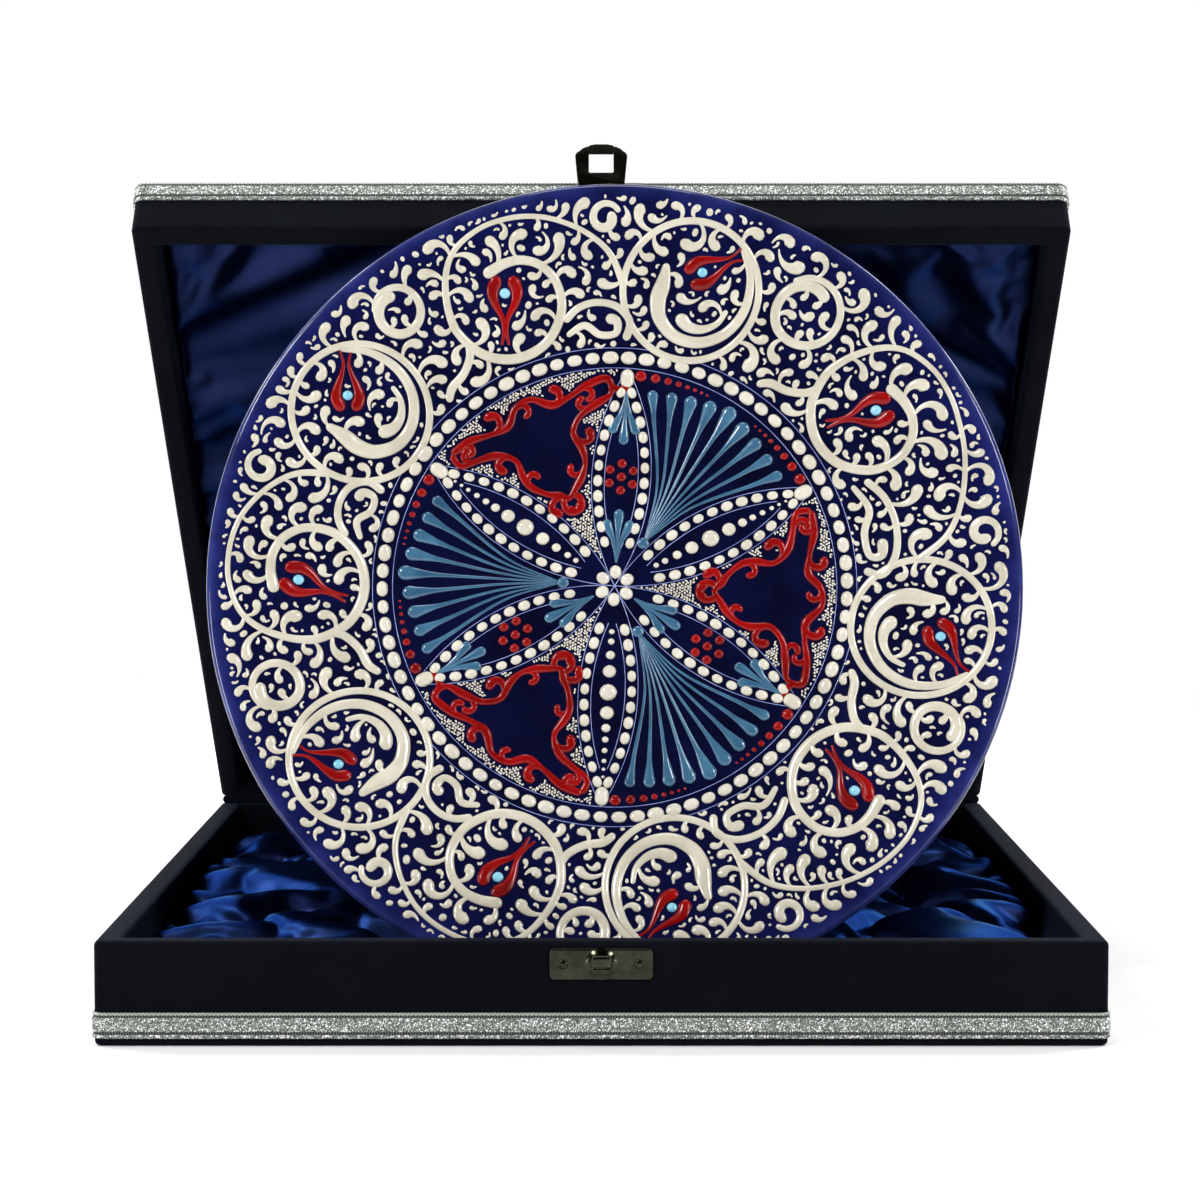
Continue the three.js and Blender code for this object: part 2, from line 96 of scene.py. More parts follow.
plate_low, plate_high = box_mm("plate_body")
PLATE_RADIUS = 150
PLATE_HEIGHT = 25
LIP = 2.4  # the radius of the plate's rounded edge
PLATE_X = (plate_low.x + plate_high.x) / 2
PLATE_UP = Vector((0, math.sin(PLATE_LEAN), math.cos(PLATE_LEAN)))
PLATE_FACING = Vector((0, -math.cos(PLATE_LEAN), math.sin(PLATE_LEAN)))
LIP_OUT = PLATE_RADIUS - LIP
LIP_RISE = PLATE_HEIGHT - LIP
PLATE_ORIGIN = Vector(
    (
        PLATE_X,
        plate_low.y + LIP + LIP_OUT * PLATE_UP.y - LIP_RISE * PLATE_FACING.y,
        plate_low.z + LIP + LIP_OUT * PLATE_UP.z - LIP_RISE * PLATE_FACING.z,
    )
)


# ---- Meshes ----


def make_object(name, vertices, faces, materials, indices=None, uvs=None):
    """A mesh object from vertices in millimetres."""
    mesh = bpy.data.meshes.new(name)
    mesh.from_pydata((np.asarray(vertices, float) * MM).tolist(), [], faces)
    for material in materials:
        mesh.materials.append(material)
    if indices is not None:
        mesh.polygons.foreach_set("material_index", indices)
    if uvs is not None:
        layer = mesh.uv_layers.new(name="along")
        flat = [value for face in faces for corner in face for value in uvs[corner]]
        layer.data.foreach_set("uv", flat)
    mesh.polygons.foreach_set("use_smooth", [True] * len(mesh.polygons))
    mesh.validate()
    made = bpy.data.objects.new(name, mesh)
    bpy.context.scene.collection.objects.link(made)
    return made


def place(piece, matrix, body, slot, *nodes):
    """Moves a finished piece to its place, and says what it rides on and stands for."""
    piece.data.transform(matrix)
    piece.data.update()
    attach(piece, body)
    if nodes:
        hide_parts(*nodes)
    return piece


def shift(x, y, z):
    """A move by a number of millimetres."""
    return Matrix.Translation(Vector((x, y, z)) * MM)


def lathe(profile, sides):
    """Vertices and faces of a profile of (radius, height) points, turned about Z. Its ends are on Z."""
    angles = np.linspace(0, 2 * math.pi, sides, endpoint=False)
    inner = np.asarray(profile[1:-1], float)
    rings = np.stack(
        [
            inner[:, None, 0] * np.cos(angles),
            inner[:, None, 0] * np.sin(angles),
            np.repeat(inner[:, 1:2], sides, 1),
        ],
        2,
    )
    vertices = [(0, 0, profile[0][1]), *rings.reshape(-1, 3), (0, 0, profile[-1][1])]
    faces = []
    count = len(inner)
    for side in range(sides):
        after = (side + 1) % sides
        faces.append((0, 1 + after, 1 + side))
        for ring in range(count - 1):
            low, high = 1 + ring * sides, 1 + (ring + 1) * sides
            faces.append((low + side, low + after, high + after, high + side))
        top = 1 + (count - 1) * sides
        faces.append((top + side, top + after, len(vertices) - 1))
    return vertices, faces


# ---- Materials ----


class Shader:
    """A Principled material whose nodes are added one by one."""

    def __init__(self, name, roughness=0.5, **values):
        self.material = bpy.data.materials.new(name)
        self.material.use_nodes = True
        self.nodes = self.material.node_tree.nodes
        self.links = self.material.node_tree.links
        self.surface = self.nodes["Principled BSDF"]
        self.surface.inputs["Roughness"].default_value = roughness
        for key, value in values.items():
            self.surface.inputs[key.replace("_", " ")].default_value = value
        self.place = self.nodes.new("ShaderNodeTexCoord").outputs["Object"]

    def add(self, kind, **inputs):
        node = self.nodes.new("ShaderNode" + kind)
        for key, value in inputs.items():
            socket = node.inputs[key.replace("_", " ")]
            if isinstance(value, bpy.types.NodeSocket):
                self.links.new(value, socket)
            else:
                socket.default_value = value
        return node

    def noise(self, scale, detail=3.0, roughness=0.55):
        node = self.add("TexNoise", Vector=self.place, Scale=scale, Detail=detail, Roughness=roughness)
        return node.outputs["Fac"]

    def ramp(self, factor, stops):
        node = self.add("ValToRGB", Fac=factor)
        ramp = node.color_ramp
        while len(ramp.elements) < len(stops):
            ramp.elements.new(0.5)
        for element, (position, color) in zip(ramp.elements, stops):
            element.position = position
            element.color = (*color, 1)
        return node.outputs["Color"]

    def color(self, socket):
        self.links.new(socket, self.surface.inputs["Base Color"])

    def shade(self, factor, *stops):
        self.color(self.ramp(factor, stops))

    def rough(self, factor, low, high):
        node = self.add("MapRange", Value=factor, To_Min=low, To_Max=high)
        self.links.new(node.outputs["Result"], self.surface.inputs["Roughness"])

    def bump(self, height, strength, distance):
        node = self.add("Bump", Strength=strength, Distance=distance, Height=height)
        self.links.new(node.outputs["Normal"], self.surface.inputs["Normal"])


def glaze_material():
    """Cobalt glaze: nearly black where it pools in the well, and clearer blue towards the lip."""
    shader = Shader("cobalt_glaze", 0.12, Coat_Weight=0.3, Coat_Roughness=0.05, IOR=1.4)
    radius = shader.add("Attribute")
    radius.attribute_name = "from_middle"
    radial = shader.ramp(
        radius.outputs["Fac"],
        [
            (0.0, (0.0009, 0.0015, 0.0175)),
            (0.56, (0.0011, 0.0018, 0.02)),
            (0.9, (0.0018, 0.0026, 0.032)),
            (0.955, (0.0034, 0.005, 0.055)),
            (0.98, (0.008, 0.0115, 0.085)),
            (1.0, (0.02, 0.028, 0.135)),
        ],
    )
    cloud = shader.ramp(
        shader.noise(52, 5, 0.62), [(0.33, (0.5, 0.5, 0.55)), (0.7, (1.75, 1.7, 1.5))]
    )
    mixed = shader.add("Mix", Factor=1.0)
    mixed.data_type = "RGBA"
    mixed.blend_type = "MULTIPLY"
    shader.links.new(radial, mixed.inputs[6])
    shader.links.new(cloud, mixed.inputs[7])
    shader.color(mixed.outputs[2])
    shader.rough(shader.noise(160, 3), 0.06, 0.16)
    shader.bump(shader.noise(95, 3), 0.35, 0.0004)
    return shader.material


def mottled(name, roughness, patches, stops, grain, shine=None, **values):
    """A surface mottled from a dark to a light shade, with a fine grain.

    patches and grain begin with a noise's settings, and grain ends with the bump's strength and
    distance. shine is a noise's scale, and the lowest and highest roughness.
    """
    shader = Shader(name, roughness, **values)
    shader.shade(shader.noise(*patches), *stops)
    if shine:
        scale, low, high = shine
        shader.rough(shader.noise(scale), low, high)
    *settings, strength, distance = grain
    shader.bump(shader.noise(*settings), strength, distance)
    return shader.material


def enamel_material(name, dark, light, coat=0.7, gloss=0.5):
    """A raised enamel: its colour runs a little thin and thick, under a clear glaze."""
    stops = [(0.3, dark), (0.68, light)]
    glaze = {"Coat_Weight": coat, "Coat_Roughness": 0.05, "IOR": 1.5, "Specular_IOR_Level": gloss}
    return mottled(name, 0.2, (70, 4, 0.6), stops, (420, 3, 0.25, 0.0002), (220, 0.12, 0.3), **glaze)


def velvet_material():
    stops = [(0.3, (0.0005, 0.0008, 0.0018)), (0.72, (0.0014, 0.0021, 0.0043))]
    sheen = {"Sheen_Weight": 0.08, "Sheen_Roughness": 0.4, "Sheen_Tint": (0.16, 0.24, 0.5, 1)}
    pile = (3400, 2, 0.7, 0.55, 0.0003)
    return mottled("navy_velvet", 0.85, (26, 5, 0.6), stops, pile, Specular_IOR_Level=0.06, **sheen)


def satin_material():
    """Woven satin: a blue that shines in its own colour, with a very fine weave."""
    shader = Shader("blue_satin", Metallic=0.95, Anisotropic=0.3, Specular_Tint=(0.25, 0.5, 1, 1))
    cloud = shader.noise(22, 4)
    shader.shade(cloud, (0.3, (0.0052, 0.0092, 0.038)), (0.75, (0.0135, 0.021, 0.078)))
    shader.rough(shader.noise(60), 0.26, 0.4)
    weave = shader.add("TexWave", Vector=shader.place, Scale=900.0, Distortion=1.5, Detail=1.0)
    shader.bump(weave.outputs["Fac"], 0.12, 0.0001)
    return shader.material


def glitter_material():
    """Metallised thread: grey flecks of many shades, each with its own roughness; the brightest flecks are
    painted white, as painted glints.
    """
    shader = Shader("silver_glitter", Metallic=0.25)
    flecks = shader.add("TexVoronoi", Vector=shader.place, Scale=2500.0).outputs["Color"]
    dark, middle, light = (0.045, 0.055, 0.045), (0.14, 0.16, 0.14), (0.3, 0.33, 0.3)
    # the darker stops are the thread's own greys; the last, white stop paints glints on the brightest flecks
    shader.shade(flecks, (0.25, dark), (0.5, middle), (0.7, light), (0.82, (1, 1, 1)))
    shader.rough(flecks, 0.3, 0.6)
    return shader.material


def braid_edge_material():
    shader = Shader("silver_edge_thread", 0.4, Metallic=0.3)
    thread = shader.add("TexWave", Vector=shader.place, Scale=420.0, Distortion=0.6)
    thread.bands_direction = "DIAGONAL"
    shader.shade(thread.outputs["Fac"], (0.2, (0.17, 0.19, 0.17)), (0.7, (0.42, 0.45, 0.41)))
    shader.bump(thread.outputs["Fac"], 0.6, 0.0003)
    return shader.material


def braid_stitch_material():
    """The dark dotted lines between the bands of the braid."""
    shader = Shader("braid_stitching", 0.7)
    wave = shader.add("TexWave", Vector=shader.add("UVMap").outputs["UV"], Scale=330.0)
    shader.shade(wave.outputs["Fac"], (0.72, (0.002, 0.003, 0.003)), (0.95, (0.13, 0.145, 0.13)))
    shader.bump(wave.outputs["Fac"], 0.6, 0.0003)
    return shader.material


def nickel_material():
    stops = [(0.3, (0.02, 0.021, 0.014)), (0.7, (0.048, 0.05, 0.035))]
    grain = (500, 2, 0.08, 0.0002)
    return mottled("dark_nickel", 0.16, (240, 4), stops, grain, (900, 0.1, 0.2), Metallic=1.0)


def board_material():
    stops = [(0.3, (0.2, 0.12, 0.06)), (0.75, (0.42, 0.29, 0.17))]
    return mottled("fibreboard", 0.85, (300, 6, 0.7), stops, (900, 3, 0.4, 0.0003))


def wadding_material():
    stops = [(0.3, (0.6, 0.59, 0.55)), (0.7, (0.84, 0.83, 0.8))]
    return mottled("wadding", 0.95, (120, 6), stops, (500, 5, 0.8, 0.001), Sheen_Weight=0.3)


def flock_material():
    stops = [(0.3, (0.004, 0.006, 0.013)), (0.7, (0.012, 0.016, 0.03))]
    return mottled("flock_paper", 0.95, (700, 4), stops, (1800, 2, 0.5, 0.0003), Sheen_Weight=0.15)


GLAZE = glaze_material()
CREAM = enamel_material("cream_enamel", (0.44, 0.405, 0.32), (0.58, 0.545, 0.45))
WHITE = enamel_material("white_enamel", (0.49, 0.455, 0.375), (0.63, 0.595, 0.51))
RED = enamel_material("red_enamel", (0.13, 0.001, 0.001), (0.28, 0.002, 0.002), 0.1, 0.25)
BLUE = enamel_material("blue_enamel", (0.014, 0.06, 0.12), (0.045, 0.135, 0.23), 0.7, 0.4)
SKY = enamel_material("sky_enamel", (0.13, 0.4, 0.55), (0.26, 0.56, 0.7))
SCRIBE = enamel_material("scribed_line", (0.1, 0.13, 0.38), (0.3, 0.36, 0.66))
VELVET = velvet_material()
SATIN = satin_material()
GLITTER = glitter_material()
EDGE = braid_edge_material()
STITCH = braid_stitch_material()
NICKEL = nickel_material()
BOARD = board_material()
WADDING = wadding_material()
FLOCK = flock_material()


# ---- The plate ----

FLANGE_SLOPE = 0.2385
FLANGE_START = 88


def face_height(radius):
    """The height of the plate's face above its foot, at a distance from the middle."""
    well = 8.2 + 0.5 * (radius / 72) ** 2
    flange = 10.85 + FLANGE_SLOPE * (radius - FLANGE_START)
    ease = 0.7
    return well + ease * np.logaddexp(0, (flange - well) / ease)


def on_plate(flat, rise):
    """Points of the ornament's plane, with their heights above the glaze, as points of the frame."""
    flat = np.asarray(flat, float)
    radius = np.hypot(flat[..., 0], flat[..., 1])
    slope = (face_height(radius + 0.05) - face_height(radius - 0.05)) / 0.1
    steep = np.sqrt(1 + slope**2)
    outward = flat / np.maximum(radius, 1e-6)[..., None]
    moved = flat - outward * (rise * slope / steep)[..., None]
    height = face_height(radius) + rise / steep
    across = moved[..., 0:1] * np.array((1.0, 0, 0))
    up = moved[..., 1:2] * np.array(PLATE_UP)
    return np.array(PLATE_ORIGIN) + across + up + height[..., None] * np.array(PLATE_FACING)


def arc_points(radius, start, end, count):
    """Points of a circle about 0, 0, between two angles in degrees."""
    angles = np.radians(np.linspace(start, end, count))
    return np.stack([radius * np.cos(angles), radius * np.sin(angles)], 1)


def plate_profile():
    """The plate's outline from the middle of its back, out round the lip, to the middle of its face."""
    foot = [(0, 3), (40, 3), (66, 3), (68.6, 2.8), (69.6, 2.2), (70.3, 0.9), (71, 0.2), (71.8, 0)]
    foot += [(73.2, 0), (74, 0.3), (74.5, 1.2), (75, 3), (76.2, 4.2), (78, 4.9), (82, 5.6)]
    slope = [(r, 5.2 + (r - 80) * 15 / 67) for r in (90, 110, 130, 144)]
    lip = arc_points(LIP, -62, 76.6, 14) + (LIP_OUT, LIP_RISE)
    face = [(r, face_height(r)) for r in (145, 140, 130, 115, 100, 94, 91, 89, 87, 85, 83, 81, 79)]
    face += [(r, face_height(r)) for r in (77, 74, 70, 60, 45, 30, 15, 0)]
    return [*foot, *slope, *map(tuple, lip), *face]


def make_plate():
    vertices, faces = lathe(plate_profile(), 288)
    plate = make_object("glazed_plate", vertices, faces, [GLAZE])
    values = [math.hypot(v.co.x, v.co.y) / MM / PLATE_RADIUS for v in plate.data.vertices]
    attribute = plate.data.attributes.new("from_middle", "FLOAT", "POINT")
    attribute.data.foreach_set("value", values)
    lean = Matrix((Vector((1, 0, 0)), PLATE_UP, PLATE_FACING)).transposed().to_4x4()
    place(plate, shift(*PLATE_ORIGIN) @ lean, "plate", "ceramic", "plate_body")


# ---- Enamel strokes ----

ACROSS = 7  # points across a stroke's dome
SUNK = 0.12  # how far a stroke's edges reach into the glaze
THINNEST = 0.1  # the smallest half width of a line's point
STEP = 0.8  # between a line's points


def lengths_along(points):
    """How far along a line each of its points is."""
    return np.concatenate([[0], np.cumsum(np.hypot(*np.diff(points, axis=0).T))])


def sideways(points):
    """The direction to the left of a line, at each of its points."""
    along = np.gradient(points, axis=0)
    along /= np.maximum(np.hypot(along[:, 0], along[:, 1]), 1e-9)[:, None]
    return np.stack([-along[:, 1], along[:, 0]], 1)


def smooth_line(points):
    """A smooth line through given points (x, y, half width)."""
    knots = np.asarray(points, float)
    padded = np.vstack([2 * knots[0] - knots[1], knots, 2 * knots[-1] - knots[-2]])
    pieces = []
    for a, b, c, d in zip(padded, padded[1:], padded[2:], padded[3:]):
        count = max(2, int(np.hypot(*(c - b)[:2]) / STEP))
        t = np.linspace(0, 1, count, endpoint=False)[:, None]
        square, cube = 2 * a - 5 * b + 4 * c - d, 3 * b - a - 3 * c + d
        pieces.append(0.5 * (2 * b + (c - a) * t + square * t**2 + cube * t**3))
    line = np.vstack([*pieces, knots[-1:]])
    return line[:, :2], np.maximum(line[:, 2], THINNEST)


def curl(start, heading, length, turn, tail, bulb):
    """A comma stroke: it leaves along heading (radians), turns ever more tightly, and ends in a bulb."""
    count = max(8, int(length / 0.7))
    u = np.linspace(0, 1, count)
    angle = heading + turn * u**1.4
    step = length / (count - 1)
    x = start[0] + np.concatenate([[0], np.cumsum(np.cos(angle[:-1]) * step)])
    y = start[1] + np.concatenate([[0], np.cumsum(np.sin(angle[:-1]) * step)])
    swell = np.minimum(u / max(1 - bulb / length, 0.3), 1)
    return np.stack([x, y], 1), tail + (bulb - tail) * swell**1.5


def dot(point, radius, stretch=0.0, heading=0.0):
    """A round or oval drop."""
    half = max(stretch, 0.04)
    direction = np.array((math.cos(heading), math.sin(heading)))
    middle = np.asarray(point, float)
    ends = np.linspace(-(half + radius), half + radius, 5)[:, None] * direction + middle
    return ends, np.full(5, float(radius))


def rounded_ends(points, widths):
    """Resamples a stroke so that both its ends are round, and returns its points and half widths."""
    lengths = lengths_along(points)
    total = lengths[-1]
    first, last = widths[0], widths[-1]
    cap = 1 - np.cos(np.linspace(0.12, math.pi / 2, 4))
    start = np.minimum(first * cap, total * 0.45)
    end = total - np.minimum(last * cap, total * 0.45)
    between = max(0, int((end[-1] - start[-1]) / 1.0))
    middle = np.linspace(start[-1], end[-1], between + 2)[1:-1]
    at = np.concatenate([start, middle, end[::-1]])
    x = np.interp(at, lengths, points[:, 0])
    y = np.interp(at, lengths, points[:, 1])
    width = np.interp(at, lengths, widths)
    near = np.clip(at / first, 0, 1)
    far = np.clip((total - at) / last, 0, 1)
    width = width * np.sqrt(1 - (1 - near) ** 2) * np.sqrt(1 - (1 - far) ** 2)
    return np.stack([x, y], 1), np.maximum(width, 0.03)


def relief(name, strokes, material, rise=0.5, highest=1.25):
    """One enamel colour, made of many domed strokes that stand on the glaze.

    rise is a narrow stroke's height as a share of its half width, and wide ones level off at highest.
    """
    angles = np.linspace(0, math.pi, ACROSS)
    across, dome = np.cos(angles), np.sin(angles)
    vertices, faces = [], []
    first = 0
    for points, widths in strokes:
        line, half = rounded_ends(points, widths)
        flat = line[:, None, :] + sideways(line)[:, None, :] * (half[:, None] * across)[..., None]
        height = highest * np.tanh(half * rise / highest)
        lift = height[:, None] * dome - SUNK * (1 - dome)
        vertices.append(on_plate(flat, lift).reshape(-1, 3))
        count = len(line)
        for ring in range(count - 1):
            low = first + ring * ACROSS
            for point in range(ACROSS):
                after = (point + 1) % ACROSS
                faces.append((low + point, low + ACROSS + point, low + ACROSS + after, low + after))
        faces.append(tuple(range(first, first + ACROSS)))
        end = first + (count - 1) * ACROSS
        faces.append(tuple(range(end + ACROSS - 1, end - 1, -1)))
        first += count * ACROSS
    place(make_object(name, np.vstack(vertices), faces, [material]), HERE, "plate", "ceramic")


class Canvas:
    """Which parts of the plate's face already have enamel, on a fine grid."""

    CELL = 0.3
    HALF = 150

    def __init__(self):
        count = int(2 * self.HALF / self.CELL)
        self.axis = (np.arange(count) + 0.5) * self.CELL - self.HALF
        self.taken = np.zeros((count, count), bool)
        self.radius = np.hypot(self.axis[None, :], self.axis[:, None])

    def cell(self, values):
        return np.clip(((values + self.HALF) / self.CELL).astype(int), 0, len(self.axis) - 1)

    def is_free(self, points, widths):
        across = np.array((-1, -0.5, 0, 0.5, 1))
        at = points[:, None, :] + sideways(points)[:, None, :] * (widths[:, None] * across)[..., None]
        return not self.taken[self.cell(at[..., 1]), self.cell(at[..., 0])].any()

    def take(self, points, widths, gap):
        reach = widths.max() + gap + self.CELL
        low, high = points.min(0) - reach, points.max(0) + reach
        x0, x1 = self.cell(np.array((low[0], high[0])))
        y0, y1 = self.cell(np.array((low[1], high[1])))
        x, y = self.axis[x0 : x1 + 1], self.axis[y0 : y1 + 1]
        region = self.taken[y0 : y1 + 1, x0 : x1 + 1]
        batch = 40
        for start in range(0, len(points), batch):
            some = points[start : start + batch]
            far = (widths[start : start + batch] + gap) ** 2
            square = (x[None, None, :] - some[:, 0, None, None]) ** 2
            square = square + (y[None, :, None] - some[:, 1, None, None]) ** 2
            region |= (square < far[:, None, None]).any(0)


# ---- The middle of the plate: a ring of beads round six petals ----

TURN = -3.5  # the painter's pattern stands a little turned on the plate
INNER = 81.1  # the radius that the petals are drawn with
BEAD_RING = 84.8
SECTOR = 60


def toward(angle, distance):
    """The point at an angle in degrees, anticlockwise from the right."""
    radians = math.radians(angle)
    return np.array((distance * math.cos(radians), distance * math.sin(radians)))


SPREAD = 1.018  # the pattern's size on the plate, against the sizes below


def spread(strokes):
    return [(points * SPREAD, widths * SPREAD) for points, widths in strokes]


def bead_ring():
    beads = []
    count = 80
    for i in range(count):
        angle = TURN + 360 * i / count
        size = 2.2 + 0.17 * math.sin(7.3 * i)
        stretch = 0.62 + 0.15 * math.sin(3.1 * i)
        beads.append(dot(toward(angle, BEAD_RING), size, stretch, math.radians(angle + 90)))
    return beads


def petal_sides(axis, radius, start, end):
    """The two arcs of a petal, at a radius about the tips of the two petals beside it."""
    sides = []
    for side in (1, -1):
        centre = toward(axis + side * SECTOR, INNER)
        angles = np.radians(axis + side * 270 + side * np.linspace(start, end, 60))
        sides.append(centre + np.stack([np.cos(angles), np.sin(angles)], 1) * radius)
    return sides


def petal_beads(axis):
    """Two rows of beads inside a petal's sides, which meet in one larger bead at its tip."""
    beads = [dot(toward(axis, 5.1), 2.25, 0.25, math.radians(axis))]
    inset = INNER - 2.3
    for line in petal_sides(axis, inset, -22.3, 23.6):
        steps = np.linspace(0, len(line) - 1, 12)
        for i, at in enumerate(steps[1:]):
            low = int(at) if at < len(line) - 1 else len(line) - 2
            point = line[low] + (line[low + 1] - line[low]) * (at - low)
            along = line[low + 1] - line[low]
            size = 1.74 + 0.12 * math.sin(5.1 * i + axis)
            beads.append(dot(point, size, 0.42, math.atan2(along[1], along[0])))
    beads.append(dot(toward(axis, 77.3), 2.6, 0.9, math.radians(axis)))
    return beads


# Distances along a petal and radii of the graded dots that fill it.
GRADED_DOTS = (
    (17, 1.0), (20.6, 1.2), (25.6, 1.65), (31.6, 2.4), (39.3, 3.15), (46.8, 2.5),
    (52.4, 1.65), (56.6, 1.2), (60.6, 1.05), (64.4, 0.85), (67.4, 0.65), (70.2, 0.55),
)  # fmt: skip


def graded_dots(axis):
    return [dot(toward(axis, distance), radius) for distance, radius in GRADED_DOTS]


def petal_drops(axis):
    """Three blue drops that hang from each tip of a petal towards its middle."""
    drops = []
    for root, way in ((8.5, 1), (72.5, -1)):
        for aside, length in ((-1, 16), (0, 20), (1, 16)):
            start = toward(axis, root)
            normal = toward(axis + 90, 1)
            along = toward(axis, 1)
            middle = start + along * way * length * 0.5 + normal * aside * 1.5
            fat = start + along * way * length * 0.84 + normal * aside * 3.9
            end = start + along * way * length + normal * aside * 4.6
            drops.append(smooth_line([(*start, 0.3), (*middle, 0.85), (*fat, 1.9), (*end, 1.9)]))
    return drops


def petal_flower(axis):
    middle = toward(axis, 40.5)
    dots = [dot(middle, 1.75)]
    for i in range(6):
        dots.append(dot(middle + toward(axis + 60 * i, 5.0), 1.75))
    return dots


def fan(axis):
    """Nine blue drops that spread from one point between two petals."""
    apex = toward(axis, 18.9)
    strokes = [dot(apex, 2.2)]
    count = 9
    for i in range(count):
        share = i / (count - 1) * 2 - 1
        size = 2.9 - 0.75 * abs(share)
        reach = 79.4 - 8 * abs(share) * (1 - 0.42 * abs(share)) - 0.6 * share**4
        tip = toward(axis + 22.6 * share, reach)
        root = apex + toward(axis + 12 * share, 1.0)
        ahead = apex + toward(axis + 20 * share, 22)
        back = (ahead - tip) / np.hypot(*(ahead - tip))
        neck, swell, bulb = (tip + back * size * steps for steps in (5.5, 2.4, 1))
        knots = [(*root, 0.2), (*ahead, 0.5), (*neck, 0.85), (*swell, size * 0.72)]
        strokes.append(smooth_line([*knots, (*bulb, size), (*tip, size)]))
    return strokes


def fan_dots(axis):
    """Red dots under the ring of beads, large at the petals and small in the middle of a fan."""
    dots = []
    for side in (1, -1):
        angle = 26.4
        for size in (2.1, 1.75, 1.4, 1.15, 0.9, 0.75, 0.6, 0.5):
            dots.append(dot(toward(axis + side * angle, 78.6), size))
            angle -= (size * 2.1 + 1.0) / 77.2 * 57.3
    return dots


# Corners of a cartouche's outline, as degrees from its axis and distances from the plate's middle.
CARTOUCHE = (
    (24.5, 77.2), (18.5, 75.6), (12.5, 72.2), (7, 71), (2.5, 75.4), (-2.5, 75.8), (-7.5, 71.2), (-12.5, 72),
    (-18.5, 75.4), (-24.5, 77.2), (-25.4, 71.6), (-20.5, 68), (-15.2, 64.6), (-11.6, 59), (-13.4, 52.6),
    (-13.2, 47), (-9.6, 42), (-5, 39), (0.6, 36.5), (5, 39), (9.6, 42), (13.4, 47.4), (13.2, 52.6),
    (11.6, 59), (15.4, 64.8), (20.5, 68.2), (25.4, 71.8), (24.5, 77.2),
)  # fmt: skip


def cartouche_frame(axis):
    """A three-pointed red frame with hollow, scalloped sides."""
    knots = []
    for i, (angle, distance) in enumerate(CARTOUCHE):
        knots.append((*toward(axis + angle, distance), 1.45 + 0.35 * math.sin(2.4 * i)))
    knots[-1] = knots[0]
    return smooth_line(knots)


def cartouche_hooks(axis, outline, numbers):
    """Volutes that leave a cartouche's frame, in turn to its inside and its outside."""
    hooks = []
    for side in (-1, 1):
        root = toward(axis + 2.5 * side, 37.5)
        heading = math.radians(axis + 180 - 40 * side)
        hooks.append(curl(root, heading, 13, 4.4 * side, 1.4, 1.7))
    count = 13
    for i in range(count):
        index = int((i + 0.35) / count * (len(outline) - 3)) + 1
        along = outline[index + 1] - outline[index - 1]
        side = 1 if i % 2 else -1
        length, bulb = (12, 2.0) if side > 0 else (9.2, 1.4)
        length *= numbers.uniform(0.85, 1.1)
        heading = math.atan2(along[1], along[0]) + side * 0.3
        hooks.append(curl(outline[index], heading, length, side * 4.2, 1.2, bulb))
    return hooks


def inside(points, outline):
    """Which points lie inside a closed outline."""
    x, y = points[:, 0], points[:, 1]
    within = np.zeros(len(points), bool)
    for (x0, y0), (x1, y1) in zip(outline, np.roll(outline, -1, 0)):
        if y0 == y1:
            continue
        crosses = (y0 > y) != (y1 > y)
        within ^= crosses & (x < (x1 - x0) * (y - y0) / (y1 - y0) + x0)
    return within


def stipple(axis, outline, canvas, numbers):
    """Small white dots between a cartouche, its two petals and the ring of beads."""
    pitch = 1.14
    row_step = 0.87  # a share of the pitch
    dots = []
    grid = []
    for i in range(int(INNER / (row_step * pitch)) + 1):
        for j in range(-40, 41):
            grid.append((i * pitch * row_step, (j + 0.5 * (i % 2)) * pitch))
    along, aside = np.array(grid).T
    cos, sin = math.cos(math.radians(axis)), math.sin(math.radians(axis))
    points = np.stack([along * cos - aside * sin, along * sin + aside * cos], 1)
    points = points + numbers.normal(0, 0.13, points.shape)
    keep = np.hypot(points[:, 0], points[:, 1]) < INNER - 0.7
    for side in (1, -1):
        centre = toward(axis + side * 1.5 * SECTOR, INNER)
        keep &= np.hypot(*(points - centre).T) > INNER + 0.5
    bearing = np.degrees(np.arctan2(points[:, 1], points[:, 0])) - axis
    keep &= np.abs((bearing + 180) % 360 - 180) < SECTOR / 2
    points = points[keep]
    for point in points[~inside(points, outline)]:
        stroke = dot(point, 0.36, 0.16, numbers.uniform(0, math.pi))
        if canvas.is_free(*stroke):
            dots.append(stroke)
    return dots


def scribed_lines():
    """The fine compass lines that the painter sets the pattern out with."""
    lines = [arc_points(radius, 0, 360, 240) for radius in (INNER, BEAD_RING + 3.5)]
    for k in range(6):
        for radius, reach in ((INNER, 30), (INNER - 4.7, 20.5)):
            lines += petal_sides(TURN + 90 + SECTOR * k, radius, -reach, reach)
    return [(line, np.full(len(line), 0.17)) for line in lines]


# ---- The border: ten medallions on a running vine ----

BORDER_START = 89.6
BORDER_END = 145.6

# Middles of the medallions, in degrees clockwise from the top. Outer and inner ones take turns.
OUTER_MEDALLIONS = (14.5, 98.5, 169, 235, 304)
INNER_MEDALLIONS = (56, 131, 201, 270, 339)
OUTER_DISTANCE = 114
INNER_DISTANCE = 113.5


def clock(angle, distance):
    """The point at an angle in degrees, clockwise from the top."""
    return toward(90 - angle, distance)


def beside(angle, distance):
    """A function from (clockwise, outward) steps about a medallion's middle to points of the plane."""
    middle = clock(angle, distance)
    outward = middle / np.hypot(*middle)
    clockwise = np.array((outward[1], -outward[0]))
    return lambda across, out: middle + across * clockwise + out * outward


def local_polar(about, steps):
    """A smooth line through (angle from clockwise, radius, half width) steps about a medallion's middle."""
    knots = []
    for angle, radius, width in steps:
        radians = math.radians(angle)
        knots.append((*about(radius * math.cos(radians), radius * math.sin(radians)), width))
    return smooth_line(knots)


